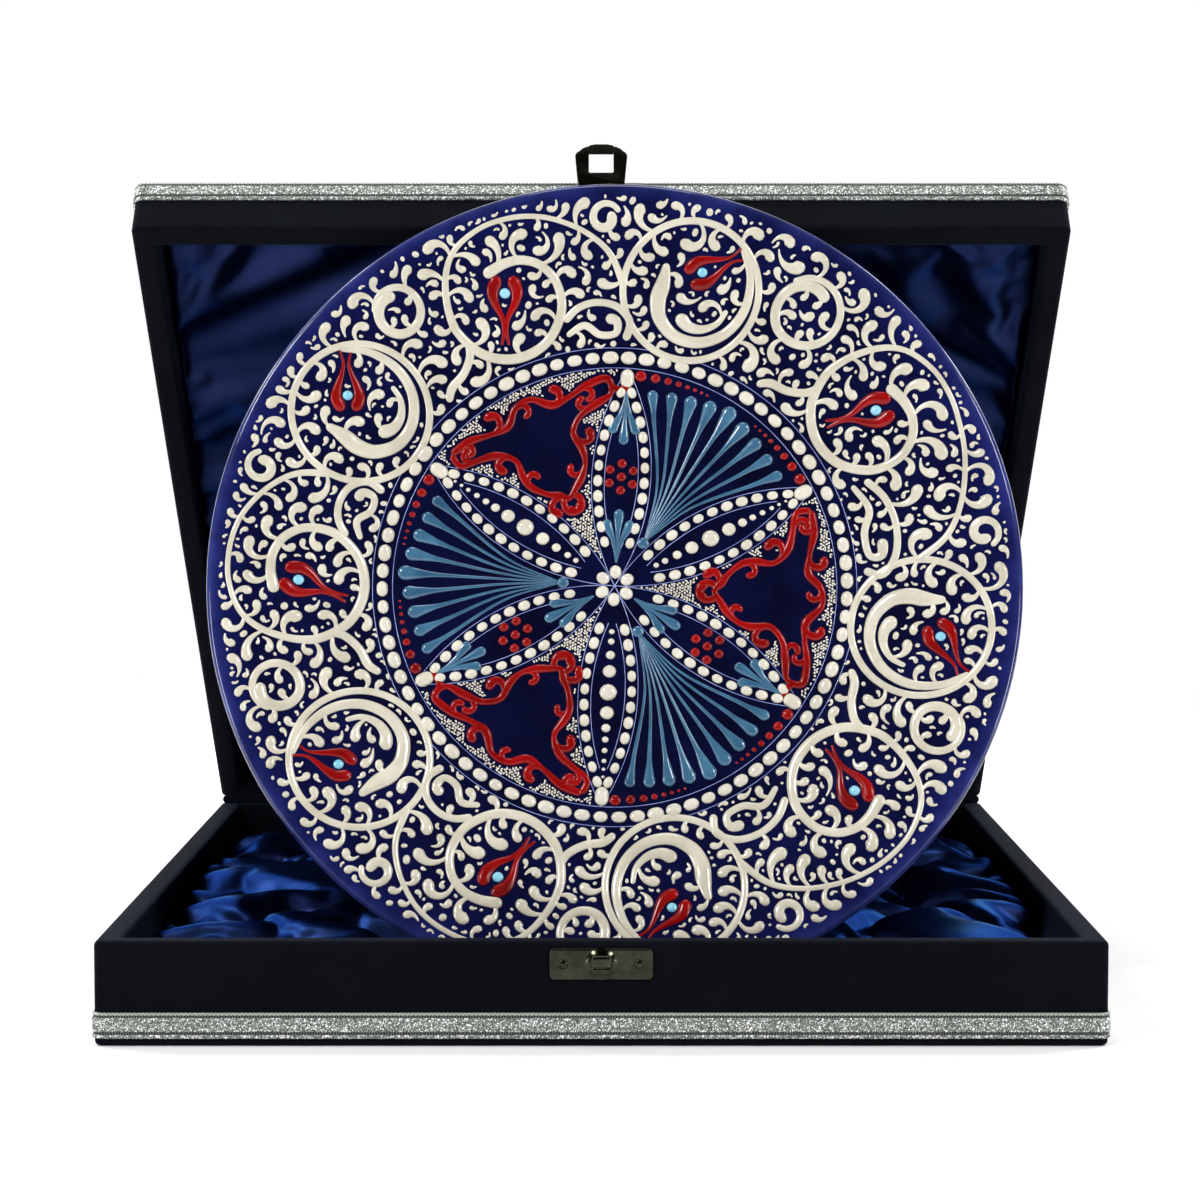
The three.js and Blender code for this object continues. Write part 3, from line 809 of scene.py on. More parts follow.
def run(angle, steps):
    """A smooth line through (degrees past an angle, distance from the middle, half width) steps."""
    return smooth_line([(*clock(angle + past, distance), width) for past, distance, width in steps])


def tulip(about, heading, scale, tails_meet):
    """Two red lobes round a sky-blue dot, with tails that run off along the heading."""
    direction = math.radians(heading)
    along = np.array((math.cos(direction), math.sin(direction)))
    aside = np.array((-along[1], along[0]))
    lobes = []
    near, far, thin = (0.35, 1.3, 0.85) if tails_meet else (1.0, 2.7, 0.6)
    steps = [(-5.4, 1.5, 1.9), (-3.8, 3.2, 2.4), (-0.4, 4.4, 2.2), (3.6, 3.5, 1.55)]
    steps += [(8.2, near + 0.8, 1.0), (12.6, near, thin), (18, far, 0.5)]
    for side in (1, -1):
        knots = []
        for forward, out, width in steps:
            step = along * forward * scale + aside * side * out * scale
            knots.append((*about(*step), width * scale))
        lobes.append(smooth_line(knots))
    return lobes, dot(about(0, 0), 1.9 * scale)


# Steps of (angle from clockwise, radius, half width) about a medallion's middle.
OUTER_SPIRAL = (
    (52, 24.4, 0.9), (25, 22.6, 1.4), (-5, 21.4, 1.7), (-35, 20.4, 1.85), (-65, 19.2, 2.0),
    (-95, 17.6, 2.2), (-125, 15.2, 2.5), (-152, 12.6, 2.9), (-176, 10.8, 2.8), (-198, 11.4, 2.0),
    (-214, 13.6, 1.2),
)  # fmt: skip
OUTER_CRADLE = (
    (-14, 15.4, 0.9), (-36, 15.6, 1.1), (-58, 14.8, 1.5), (-78, 13.2, 2.0), (-94, 10.8, 2.5),
    (-102, 9.2, 2.6),
)  # fmt: skip
INNER_RING = (
    (165, 21.9, 1.3), (190, 21.4, 1.6), (225, 21.0, 1.75), (260, 20.8, 1.8), (295, 20.9, 1.75),
    (330, 21.0, 1.7), (360, 20.4, 1.6), (385, 18.9, 1.6), (408, 16.6, 1.65), (430, 14.2, 1.8),
    (452, 12.6, 2.0), (470, 12.4, 2.3),
)  # fmt: skip

# Steps of (degrees past an inner medallion's middle, distance from the plate's middle, half width).
INNER_ARC = (
    (-11.0, 110, 1.5), (-10.2, 120, 1.4), (-7.8, 131, 1.2), (-4.6, 138.2, 1.05), (0, 141.8, 0.95),
    (4.3, 142.2, 0.95), (8.3, 140.8, 0.95), (12.1, 137.6, 0.95), (16.4, 131.8, 1.0), (20, 124, 1.15),
    (22.6, 112, 1.4),
)  # fmt: skip
INNER_POD = (
    (10.2, 101, 1.4), (13.5, 105.2, 1.35), (17.3, 106.6, 1.3), (21.3, 104.8, 1.35), (24, 99.4, 1.45),
    (23.2, 92.6, 1.5),
)  # fmt: skip
INNER_LEAF = (
    (10.2, 95.8, 1.0), (14.3, 98.6, 1.35), (17.5, 94.8, 1.35), (21, 95.2, 1.3), (21.2, 99.6, 1.7),
    (18.9, 100.8, 2.1),
)  # fmt: skip
INNER_STEM = (
    (-9.8, 107, 1.5), (-11.2, 101.5, 1.5), (-14.5, 97.4, 1.5), (-18.4, 95.8, 1.6), (-21, 92.6, 1.3),
)  # fmt: skip


def outer_medallion(angle):
    """A thin ring with a heavy spiral inside it that cradles a tulip."""
    about = beside(angle, OUTER_DISTANCE)
    ring = [(a, 25.4, 1.3) for a in range(40, 411, 10)]
    vines = [local_polar(about, steps) for steps in (ring, OUTER_SPIRAL, OUTER_CRADLE)]
    return vines, *tulip(beside(angle + 1.2, OUTER_DISTANCE + 7.5), 38, 0.98, False)


def inner_medallion(angle, next_angle):
    """A heavy spiral ring on the bead ring, and a thin arc by the rim that runs on to the next one."""
    fixed = 8  # degrees past the middle, up to where the steps are spread over the gap
    stretch = ((next_angle - angle) % 360 - 12.6 - fixed) / 14.6

    def reach(steps):
        """Steps past the ring, spread over the gap up to the next medallion."""
        return [(past if past < fixed else fixed + (past - fixed) * stretch, *rest) for past, *rest in steps]

    vines = [local_polar(beside(angle, INNER_DISTANCE), INNER_RING)]
    vines += [run(angle, reach(steps)) for steps in (INNER_ARC, INNER_POD, INNER_LEAF, INNER_STEM)]
    return vines, *tulip(beside(angle + 0.4, INNER_DISTANCE + 3.2), 250, 1.05, True)


def link_scrolls():
    """Small rings and volutes where an outer medallion meets the next inner one, and along the rim."""
    strokes = []
    for outer, inner in zip(OUTER_MEDALLIONS, INNER_MEDALLIONS):
        gap = inner - outer
        distance, size = (124.5, 12.4) if gap > 38 else (130, 8.6)
        shrinks = [1 - 0.06 * max(0, step - 9) for step in range(16)]
        steps = [(150 - i * 30, size * shrink, 1.1 + 0.07 * i) for i, shrink in enumerate(shrinks)]
        strokes.append(local_polar(beside(outer + gap * 0.5, distance), steps))
    for angle in OUTER_MEDALLIONS:
        steps = [(20 + step * 36, 6.0 - 0.36 * step, 1.0 + 0.1 * step) for step in range(12)]
        strokes.append(local_polar(beside(angle - 16, 137), steps))
    return strokes


GAP = 0.4  # bare glaze left between two strokes


def hooks_along(line, half, canvas, numbers, spacing, length, bulb):
    """Curls that grow from both sides of a vine, wherever there is room for them."""
    grown = []
    lengths = lengths_along(line)
    at = numbers.uniform(1, spacing)
    while at < lengths[-1] - 1:
        index = min(max(int(np.searchsorted(lengths, at)), 1), len(line) - 2)
        at += spacing * numbers.uniform(0.7, 1.3)
        along = line[index + 1] - line[index - 1]
        heading = math.atan2(along[1], along[0])
        for side in (1, -1):
            size = 1.0
            for _ in range(30):
                back = numbers.random() < 0.3
                way = side * (-1 if back else 1)
                stroke = curl(
                    line[index],
                    heading + (math.pi if back else 0) + way * numbers.uniform(0.2, 0.8),
                    length * size * numbers.uniform(0.85, 1.15),
                    way * numbers.uniform(1.8, 4.0),
                    0.5 * size + 0.1,
                    bulb * (0.35 + 0.65 * size) * numbers.uniform(0.9, 1.1),
                )
                size = max(0.42, size * 0.965)
                clear = np.hypot(*(stroke[0] - line[index]).T) > half[index] + 1.3
                if clear.sum() > 3 and canvas.is_free(stroke[0][clear], stroke[1][clear]):
                    grown.append(stroke)
                    canvas.take(*stroke, GAP)
                    break
    return grown


# Each pass of the filling: tries, shortest and longest curl (0 for a dot), smallest and largest bulb.
FILL_PASSES = (
    (1500, 13, 17, 2.3, 2.8),
    (2500, 10, 13, 2.0, 2.5),
    (3500, 7, 10, 1.7, 2.2),
    (3500, 5, 7, 1.4, 1.8),
    (1500, 0, 0, 1.1, 1.5),
    (4000, 3.6, 5, 1.0, 1.3),
    (3000, 0, 0, 0.8, 1.1),
    (5000, 2.2, 3.4, 0.62, 0.9),
    (9000, 0, 0, 0.5, 0.7),
)


def fill_border(canvas, numbers):
    """Fills what is bare with curls and dots, the largest first."""
    strokes = []
    for tries, shortest, longest, smallest, largest in FILL_PASSES:
        rows, columns = np.nonzero(~canvas.taken)
        picked = numbers.integers(0, len(rows), tries)
        for x, y in zip(canvas.axis[columns[picked]], canvas.axis[rows[picked]]):
            if canvas.taken[canvas.cell(y), canvas.cell(x)]:
                continue
            for _ in range(8 if longest else 1):
                bulb = numbers.uniform(smallest, largest)
                heading = numbers.uniform(0, 2 * math.pi)
                if longest:
                    turn = numbers.choice((-1, 1)) * numbers.uniform(1.8, 4.0)
                    length = numbers.uniform(shortest, longest)
                    stroke = curl((x, y), heading, length, turn, 0.34, bulb)
                else:
                    stroke = dot((x, y), bulb, numbers.uniform(0, 0.4) * bulb, heading)
                if canvas.is_free(*stroke):
                    strokes.append(stroke)
                    canvas.take(*stroke, GAP)
                    break
    return strokes


def border_enamel(numbers):
    """Draws the border's vines, and returns its tulips and their dots."""
    canvas = Canvas()
    canvas.taken |= (canvas.radius < BORDER_START) | (canvas.radius > BORDER_END)
    medallions = [outer_medallion(angle) for angle in OUTER_MEDALLIONS]
    next_angles = np.roll(OUTER_MEDALLIONS, -1)
    medallions += [inner_medallion(*angles) for angles in zip(INNER_MEDALLIONS, next_angles)]
    vines, tulips, sky = [], [], []
    for strokes, lobes, eye in medallions:
        vines += strokes
        tulips += lobes
        sky.append(eye)
    vines = [(points, widths * 1.08) for points, widths in vines + link_scrolls()]
    for stroke in (*vines, *tulips, *sky):
        canvas.take(*stroke, GAP)
    curls = []
    for line, half in vines:
        curls += hooks_along(line, half, canvas, numbers, spacing=8, length=16, bulb=2.5)
    curls += fill_border(canvas, numbers)
    relief("border_vines", vines, CREAM, rise=0.42)
    relief("border_curls", curls, CREAM)
    return tulips, sky


def petals_and_fans():
    """The white, blue and red strokes inside the ring of beads."""
    beads, blue, red = bead_ring(), [], []
    for k in range(6):
        axis = TURN + 90 + SECTOR * k
        beads += petal_beads(axis)
        if k % 2:
            beads += graded_dots(axis)
        else:
            blue += petal_drops(axis)
            red += petal_flower(axis)
    for k in range(3):
        axis = TURN + 60 + 120 * k
        blue += fan(axis)
        red += fan_dots(axis)
    return beads, blue, red


def decorate():
    numbers = np.random.default_rng(7)
    tulips, sky = border_enamel(numbers)
    beads, blue, red = petals_and_fans()
    canvas = Canvas()
    outlines = {}
    for axis in (TURN, TURN + 120, TURN + 240):
        outline = cartouche_frame(axis)
        strokes = [outline, *cartouche_hooks(axis, outline[0], numbers)]
        red += strokes
        outlines[axis] = outline[0]
        for stroke in strokes:
            canvas.take(*stroke, 0.25)
    for bead in beads:
        canvas.take(*bead, 0.2)
    tiny = []
    for axis, outline in outlines.items():
        tiny += stipple(axis, outline, canvas, numbers)
    relief("beads", spread(beads), WHITE, rise=0.62, highest=1.7)
    relief("blue_drops", spread(blue), BLUE, rise=0.4, highest=1.1)
    relief("red_enamel", tulips + spread(red), RED, rise=0.45, highest=1.1)
    relief("sky_dots", sky, SKY, rise=0.6, highest=1.3)
    relief("white_stipple", spread(tiny), WHITE)
    relief("scribed_lines", spread(scribed_lines()), SCRIBE, rise=0.3)


# ---- The case ----

CORNER = 3.0  # radius of the case's upright edges
CORNER_STEPS = 6
SIDE_STEPS = 24


def rounded_corners(x, y, radius, steps):
    """The four rounded corners of a rectangle whose half sizes are x and y, each as a list of points."""
    corners = []
    for turn, (side_x, side_y) in enumerate(((1, -1), (1, 1), (-1, 1), (-1, -1))):
        middle = np.array((side_x * (x - radius), side_y * (y - radius)))
        angles = np.radians(-90 + 90 * turn + 90 * np.arange(steps + 1) / steps)
        corners.append([middle + radius * np.array((math.cos(a), math.sin(a))) for a in angles])
    return corners


def ring_points(inset, corner):
    """A rounded rectangle of the case's outline, drawn in by inset."""
    corners = rounded_corners(CASE_X - inset, CASE_Y - inset, corner, CORNER_STEPS)
    points = []
    for bend_points, following in zip(corners, corners[1:] + corners[:1]):
        start, target = bend_points[-1], following[0]
        points += bend_points
        points += [start + (target - start) * step / SIDE_STEPS for step in range(1, SIDE_STEPS)]
    return np.array(points)


def loft(name, rings, materials, bands=None, closed=True):
    """A skin through rings (inset, height). It closes on itself, or its two ends are capped."""
    corners = [ring_points(inset, max(CORNER - inset, 0.8)) for inset, _ in rings]
    count = len(corners[0])
    levels = zip(corners, rings)
    vertices = np.vstack([np.column_stack([ring, np.full(count, level[1])]) for ring, level in levels])
    around = lengths_along(corners[0]) * MM
    uvs = [(around[i], height * MM) for (_, height) in rings for i in range(count)]
    faces, indices = [], []
    spans = len(rings) if closed else len(rings) - 1
    for ring in range(spans):
        low, high = ring * count, (ring + 1) % len(rings) * count
        for i in range(count):
            after = (i + 1) % count
            faces.append((low + i, low + after, high + after, high + i))
            indices.append(bands[ring] if bands else 0)
    if not closed:
        faces.append(tuple(range(count - 1, -1, -1)))
        faces.append(tuple(range((len(rings) - 1) * count, len(rings) * count)))
        indices += [0, 0]
    piece = make_object(name, vertices, faces, materials, indices, uvs)
    fix_normals(piece)
    return piece


def fix_normals(piece):
    """Turns every face outwards."""
    shape = bmesh.new()
    shape.from_mesh(piece.data)
    bmesh.ops.recalc_face_normals(shape, faces=shape.faces)
    shape.to_mesh(piece.data)
    shape.free()


def bend(middle_inset, middle_height, radius, start, end, steps=5):
    """Rings round a bend of the skin; angles are in degrees, with 0 inwards and 90 up."""
    arc = arc_points(radius, start, end, steps) + (middle_inset, middle_height)
    return [tuple(point) for point in arc]


SKIN = 0.8  # the velvet's thickness
BEND = 1.8  # the radius of the velvet's bends at the rims
FOOT_BEND = 1.6
LID_BEND = 2.2
CENTRE = 172  # the inset of the innermost ring of a surface that closes in the middle


def base_cover():
    rings = [(14, BASE_FOOT), (5, BASE_FOOT)]
    rings += bend(FOOT_BEND, BASE_FOOT + FOOT_BEND, FOOT_BEND, 270, 180)
    rings += [(0, 6), (0, RIM - 5)]
    rings += bend(BEND, RIM - BEND, BEND, 180, 90)
    rings += bend(WALL - BEND, RIM - BEND, BEND, 90, 0)
    rings += [(WALL, RIM - 4), (WALL, 9), (WALL - SKIN, 9), (WALL - SKIN, RIM - 4)]
    rings += [(WALL - 2, RIM - SKIN - 0.1), (2, RIM - SKIN - 0.1), (SKIN, RIM - 4)]
    rings += [(SKIN, 6), (SKIN, BASE_FOOT + 2), (2, BASE_FOOT + SKIN), (14, BASE_FOOT + SKIN)]
    place(loft("base_velvet", rings, [VELVET]), HERE, "base", "velvet", "base_velvet_cover")


def back_welt():
    """A soft roll of velvet on the base's back edge. It closes the gap under the open lid."""
    radius = 1.7
    vertices, faces = domed_bar(radius, 2 * CASE_X - 1.6, 1.4)
    taller = Matrix.Scale(1.08, 4, (0, 0, 1))
    at = Matrix.Translation((0, CASE_Y - radius - 0.2, RIM + radius - 0.1)) @ taller @ ALONG_X
    welt = make_object("base_back_welt", [at @ Vector(vertex) for vertex in vertices], faces, [VELVET])
    place(welt, HERE, "base", "velvet")


def lid_cover():
    inner_edge = LID_BED + 5
    rings = []
    for inset in (CENTRE, 150, 120, 90, 60, 35, 18, 8, 4.5):
        crown = 0.7 * (1 - (1 - inset / 177) ** 3)
        rings.append((inset, LID_TOP - 0.1 + crown * min(1, inset / 18)))
    rings += bend(LID_BEND, LID_TOP - LID_BEND, LID_BEND, 90, 180)
    rings += [(0, LID_TOP - 5), (0, LID_RIM + 5)]
    rings += bend(BEND, LID_RIM + BEND, BEND, 180, 270)
    rings += bend(WALL - BEND, LID_RIM + BEND, BEND, 270, 360)
    rings += [(WALL, LID_RIM + 4), (WALL, inner_edge), (WALL - SKIN, inner_edge)]
    rings += [(WALL - SKIN, LID_RIM + 4), (WALL - 2, LID_RIM + SKIN + 0.1), (2, LID_RIM + SKIN + 0.1)]
    rings += [(SKIN, LID_RIM + 4)]
    rings += [(SKIN, LID_TOP - 4), (3, LID_TOP - SKIN - 0.2), (CENTRE, LID_TOP - SKIN - 0.2)]
    place(loft("lid_velvet", rings, [VELVET], closed=False), LID, "lid", "velvet", "lid_velvet_cover")


# The braid from its outer edge: (share of its width, thickness, band it ends). Band 0 is glitter,
# 1 is the edge thread and 2 is dark stitching.
BRAID = (
    (0.0, 0.25, 1), (0.02, 0.72, 1), (0.06, 0.95, 1), (0.1, 0.7, 1), (0.11, 0.6, 2), (0.2, 0.6, 2),
    (0.21, 0.9, 0), (0.25, 0.98, 0), (0.5, 1.02, 0), (0.69, 0.98, 0), (0.73, 0.9, 0), (0.74, 0.6, 2),
    (0.85, 0.6, 2), (0.86, 0.86, 0), (0.92, 1.0, 0), (0.98, 0.74, 0), (1.0, 0.25, 0),
)  # fmt: skip


def braid(name, low, high, matrix, body, node):
    rings = [(-thick, high + (low - high) * share) for share, thick, _ in BRAID]
    bands = [following[2] for following in BRAID[1:]]
    rings += [(-0.04, rings[-1][1]), (-0.04, rings[0][1])]
    bands += [0, 0, 0]
    place(loft(name, rings, [GLITTER, EDGE, STITCH], bands), matrix, body, "braid", node)


# ---- Satin linings ----

SIM_SCALE = 10.0  # the cloth is simulated ten times as large, where the solver is steady
LINING_STEPS = 110  # grid points along each side of a lining


def lining_grid():
    steps = LINING_STEPS
    x, y = CASE_X - WALL - 0.3, CASE_Y - WALL - 0.3
    xs = np.linspace(-x, x, steps)
    ys = np.linspace(-y, y, steps)
    vertices = [(a, b, 0.0) for b in ys for a in xs]
    faces = []
    for row in range(steps - 1):
        for column in range(steps - 1):
            first = row * steps + column
            faces.append((first, first + 1, first + steps + 1, first + steps))
    return np.array(vertices), faces


def stitches(points, spacing, seed):
    """Grid points, roughly a spacing apart, where a lining is caught down to its board."""
    numbers = random.Random(seed)
    half_x, half_y = points[:, 0].max(), points[:, 1].max()
    caught = []
    for _ in range(1200):
        x = numbers.uniform(-half_x + 0.45 * spacing, half_x - 0.45 * spacing)
        y = numbers.uniform(-half_y + 0.45 * spacing, half_y - 0.45 * spacing)
        if all(math.hypot(x - a, y - b) > spacing * numbers.uniform(0.8, 1.3) for a, b in caught):
            caught.append((x, y))
    return [int(np.argmin((points[:, 0] - x) ** 2 + (points[:, 1] - y) ** 2)) for x, y in caught]


def gather(piece, caught, growth, pressure, bending):
    """Lets a sheet that is cut too large for its frame find its own folds."""
    scene = bpy.context.scene
    steps = LINING_STEPS
    ends = (0, steps - 1)
    edge = [i for i in range(steps * steps) if i % steps in ends or i // steps in ends]
    pins = piece.vertex_groups.new(name="held")
    pins.add([*edge, *caught], 1.0, "REPLACE")
    cloth = piece.modifiers.new("cloth", "CLOTH")
    settings = cloth.settings
    settings.quality = 6
    settings.mass = 0.2
    settings.tension_stiffness = 12
    settings.compression_stiffness = 12
    settings.shear_stiffness = 6
    settings.tension_damping = 8
    settings.compression_damping = 8
    settings.shear_damping = 8
    settings.bending_stiffness = bending
    settings.bending_damping = 0.6
    settings.air_damping = 2
    settings.vertex_group_mass = "held"
    settings.shrink_min = -growth
    settings.use_pressure = True
    settings.uniform_pressure_force = pressure
    settings.effector_weights.gravity = 0.1
    cloth.collision_settings.use_collision = False
    cloth.collision_settings.use_self_collision = False
    frames = 36
    cloth.point_cache.frame_start = 1
    cloth.point_cache.frame_end = frames
    for number in range(1, frames + 1):
        scene.frame_set(number)
    depsgraph = bpy.context.evaluated_depsgraph_get()
    settled = piece.evaluated_get(depsgraph).data
    positions = np.empty(len(settled.vertices) * 3, np.float32)
    settled.vertices.foreach_get("co", positions)
    piece.modifiers.remove(cloth)
    scene.frame_set(1)
    return positions.reshape(-1, 3)


def subdivide(piece, levels):
    modifier = piece.modifiers.new("fine", "SUBSURF")
    modifier.levels = modifier.render_levels = levels
    depsgraph = bpy.context.evaluated_depsgraph_get()
    fine = bpy.data.meshes.new_from_object(piece.evaluated_get(depsgraph))
    piece.modifiers.remove(modifier)
    piece.data = fine


def rough_bed(points, seed, height):
    """A shallow random swell, as if the wadding were thick and thin."""
    offset = Vector((seed, 3.7 * seed, 0))
    swells = []
    for x, y in points[:, :2]:
        broad = noise.noise(Vector((x * 0.014, y * 0.014, 0)) + offset)
        fine = noise.noise(Vector((x * 0.04 + y * 0.02, y * 0.04, 5)) + offset)
        swells.append(height * (broad + 0.6 * fine))
    return np.array(swells)


def on_edge(points):
    """Which points of a lining's grid are on its edge."""
    x, y = np.abs(points[:, 0]), np.abs(points[:, 1])
    return np.maximum(x / x.max(), y / y.max()) > 0.999


def drape(name, points, faces, caught, growth, forces, limits, softness):
    """A satin sheet and its settled points, eased between a lowest and a highest level."""
    sheet = make_object(name, points * SIM_SCALE, faces, [SATIN])
    points = gather(sheet, caught, growth, **forces) / (MM * SIM_SCALE)
    low, high = limits
    points[:, 2] = low + np.logaddexp(0, (points[:, 2] - low) / softness) * softness
    points[:, 2] = high - np.logaddexp(0, (high - points[:, 2]) / softness) * softness
    return sheet, points


def finish_lining(sheet, points, matrix, body):
    """Fits a settled sheet into its frame, smooths it and puts it in place."""
    half_x, half_y = CASE_X - WALL, CASE_Y - WALL
    for axis, half in enumerate((half_x, half_y)):
        points[:, axis] = np.clip(points[:, axis], 0.25 - half, half - 0.25)
    sheet.data.vertices.foreach_set("co", (points * MM).reshape(-1))
    sheet.data.update()
    subdivide(sheet, 1)
    for polygon in sheet.data.polygons:
        polygon.use_smooth = True
    place(sheet, matrix, body, "satin", f"{body}_satin_lining")


def satin_base():
    """The base's lining, in many deep folds, with a trough that the plate's lower edge presses into it."""
    points, faces = lining_grid()
    points[:, 2] = BED + 4 + rough_bed(points, seed=2.0, height=5.0)
    plate_y = plate_low.y + 9
    across = np.exp(-(((points[:, 1] - plate_y) / 15) ** 2) * 1.6)
    along = np.clip(1.35 - np.abs(points[:, 0] - PLATE_X) / 70, 0, 1)
    press = across * along
    points[:, 2] -= 9 * press
    points[on_edge(points), 2] = BED - 1
    caught = stitches(points, spacing=52, seed=4)
    points[caught, 2] = BED - 2
    growth = 0.2
    limits = BED - 2.2, RIM - 3.5
    forces = {"pressure": 0.7, "bending": 0.06}
    sheet, points = drape("base_satin", points, faces, caught, growth, forces, limits, softness=1.5)
    under = press > 0.25
    limit = plate_low.z - 0.9 + 26 * (1 - press)
    points[under, 2] = np.minimum(points[under, 2], limit[under])
    finish_lining(sheet, points, HERE, "base")


def satin_lid():
    """The lid's lining, in a few long, shallow folds."""
    points, faces = lining_grid()
    points[:, 2] = LID_BED - 1 + rough_bed(points, seed=9.0, height=2.0)
    points[on_edge(points), 2] = LID_BED + 1.5
    caught = stitches(points, spacing=95, seed=11)
    points[caught, 2] = LID_BED + 1.5
    growth = 0.045
    limits = LID_RIM + 2.5, LID_BED + 2.0
    forces = {"pressure": -0.1, "bending": 0.05}
    sheet, points = drape("lid_satin", points, faces, caught, growth, forces, limits, softness=1.2)
    finish_lining(sheet, points, LID, "lid")


def padding(body, matrix, low, high, sign):
    """A soft pad of wadding, from its board at low to its lining at high. sign is 1 where that is up."""
    rings = [(CENTRE, low), (WALL + 1.2, low + sign * 0.4), (WALL + 0.6, low + sign * 1.2)]
    rings += [(WALL + 0.6, high - sign * 2), (WALL + 2, high - sign * 0.6)]
    for inset in (12, 18, 30, 50, 80, 120, 160, CENTRE):
        rings.append((inset + 4, high + sign * 0.2 * math.sin(inset)))
    pad = loft(f"{body}_padding", rings, [WADDING], closed=False)
    place(pad, matrix, body, "wadding", f"{body}_wadding")


# ---- Metal fittings ----


def rounded_outline(width, height, radius, steps=5):
    corners = rounded_corners(width / 2, height / 2, radius, steps)
    return [tuple(point) for corner in corners for point in corner]


def stamped(name, outlines, thickness, edge):
    """A flat piece of metal in the XY plane, from an outline and its holes, with rounded edges."""
    curve = bpy.data.curves.new(name, "CURVE")
    curve.dimensions = "2D"
    curve.fill_mode = "BOTH"
    curve.extrude = thickness / 2 - edge
    curve.bevel_depth = edge
    curve.bevel_resolution = 3
    curve.offset = -edge
    for outline in outlines:
        spline = curve.splines.new("POLY")
        spline.points.add(len(outline) - 1)
        for point, (x, y) in zip(spline.points, outline):
            point.co = (x, y, 0, 1)
        spline.use_cyclic_u = True
    holder = bpy.data.objects.new(name, curve)
    bpy.context.scene.collection.objects.link(holder)
    depsgraph = bpy.context.evaluated_depsgraph_get()
    mesh = bpy.data.meshes.new_from_object(holder.evaluated_get(depsgraph))
    bpy.data.objects.remove(holder)
    shape = bmesh.new()
    shape.from_mesh(mesh)
    bmesh.ops.remove_doubles(shape, verts=shape.verts, dist=0.01)
    bmesh.ops.recalc_face_normals(shape, faces=shape.faces)
    return shape


def add_solid(shape, vertices, faces, matrix):
    made = [shape.verts.new(matrix @ Vector(vertex)) for vertex in vertices]
    for face in faces:
        shape.faces.new([made[i] for i in face])


def merge(shape, other, matrix):
    """Adds another shape to this one."""
    other.verts.index_update()
    add_solid(
        shape,
        [vertex.co.copy() for vertex in other.verts],
        [[vertex.index for vertex in face.verts] for face in other.faces],
        matrix,
    )
    other.free()


def domed_bar(radius, length, edge, sides=28):
    """The profile of a round bar with softened ends, turned about its own axis."""
    half = length / 2
    profile = [(0, -half), (radius - edge, -half), (radius - edge * 0.3, -half + edge * 0.3)]
    profile += [(radius, -half + edge), (radius, half - edge), (radius - edge * 0.3, half - edge * 0.3)]
    profile += [(radius - edge, half), (0, half)]
    return lathe(profile, sides)


def add_bar(shape, radius, length, edge, at=(0, 0, 0)):
    """Adds a round bar that lies along X."""
    add_solid(shape, *domed_bar(radius, length, edge), Matrix.Translation(at) @ ALONG_X)


def metal_object(name, shape, matrix, body, *nodes):
    shape.normal_update()
    mesh = bpy.data.meshes.new(name)
    shape.to_mesh(mesh)
    shape.free()
    mesh.transform(Matrix.Scale(MM, 4))
    mesh.materials.append(NICKEL)
    for polygon in mesh.polygons:
        polygon.use_smooth = True
    mesh.set_sharp_from_angle(angle=math.radians(38))
    piece = bpy.data.objects.new(name, mesh)
    bpy.context.scene.collection.objects.link(piece)
    place(piece, matrix, body, "nickel", *nodes)


ALONG_X = Matrix.Rotation(math.radians(90), 4, "Y")
FACE_FRONT = Matrix.Rotation(math.radians(90), 4, "X")  # the XY plane becomes the case's front face
FACE_BACK = Matrix.Rotation(math.radians(180), 4, "Z") @ FACE_FRONT
METAL = 1.0  # the metal's thickness
STANDS_OFF = 0.3  # how far the metal's back is from the case's outside
KNUCKLE = 1.9
PIN = 0.8
CATCH_Z = RIM - 7.7
HASP_REACH = 17.1
HASP_Z = CATCH_Z + HASP_REACH
CLASP_RIVET = 13.2
HASP_AXIS = shift(0, -CASE_Y - STANDS_OFF - METAL - KNUCKLE, HASP_Z)


def on_front(height):
    """The case's front face, at a height."""
    return shift(0, -CASE_Y - METAL / 2 - 0.25, height) @ FACE_FRONT


def rivet(node, x, y, matrix, body):
    """A rivet's domed head, on the face of a metal plate."""
    profile = [(0, -0.3), (1.75, -0.3), (1.75, 0.12), (1.62, 0.38), (1.3, 0.62), (0.8, 0.78), (0, 0.85)]
    head = bmesh.new()
    add_solid(head, *lathe(profile, 28), Matrix.Translation((x, y, METAL / 2)))
    metal_object(f"{node}_head", head, matrix, body, node)


def clasp_rivets(name, matrix, body):
    rivet(f"{name}_rivet_left", -CLASP_RIVET, 0, matrix, body)
    rivet(f"{name}_rivet_right", CLASP_RIVET, 0, matrix, body)


def catch():
    """The catch: a stamped plate with a domed boss, and a block with a bar that the hasp snaps over."""
    shape = stamped("catch", [rounded_outline(36, 11, 1.6)], METAL, 0.28)
    radius, rise = 5.4, 1.9
    boss = [(r, rise * (1 - (r / radius) ** 2)) for r in np.linspace(radius, 0, 10)]
    boss = [(0, -0.3), (radius + 0.2, -0.3), (radius + 0.2, -0.1), *boss]
    wider = Matrix.Scale(1.07, 4, (1, 0, 0))
    add_solid(shape, *lathe(boss, 48), Matrix.Translation((0, 0, METAL / 2)) @ wider)
    block = stamped("stud_block", [rounded_outline(7.6, 6.8, 1.2)], 3.0, 1.1)
    merge(shape, block, Matrix.Translation((0, 0, METAL / 2 + rise - 0.1)))
    add_bar(shape, 0.9, 7.2, 0.4, (0, -1.4, 3.6))
    metal_object("catch", shape, on_front(CATCH_Z), "base", "clasp_catch")
    clasp_rivets("catch", on_front(CATCH_Z), "base")


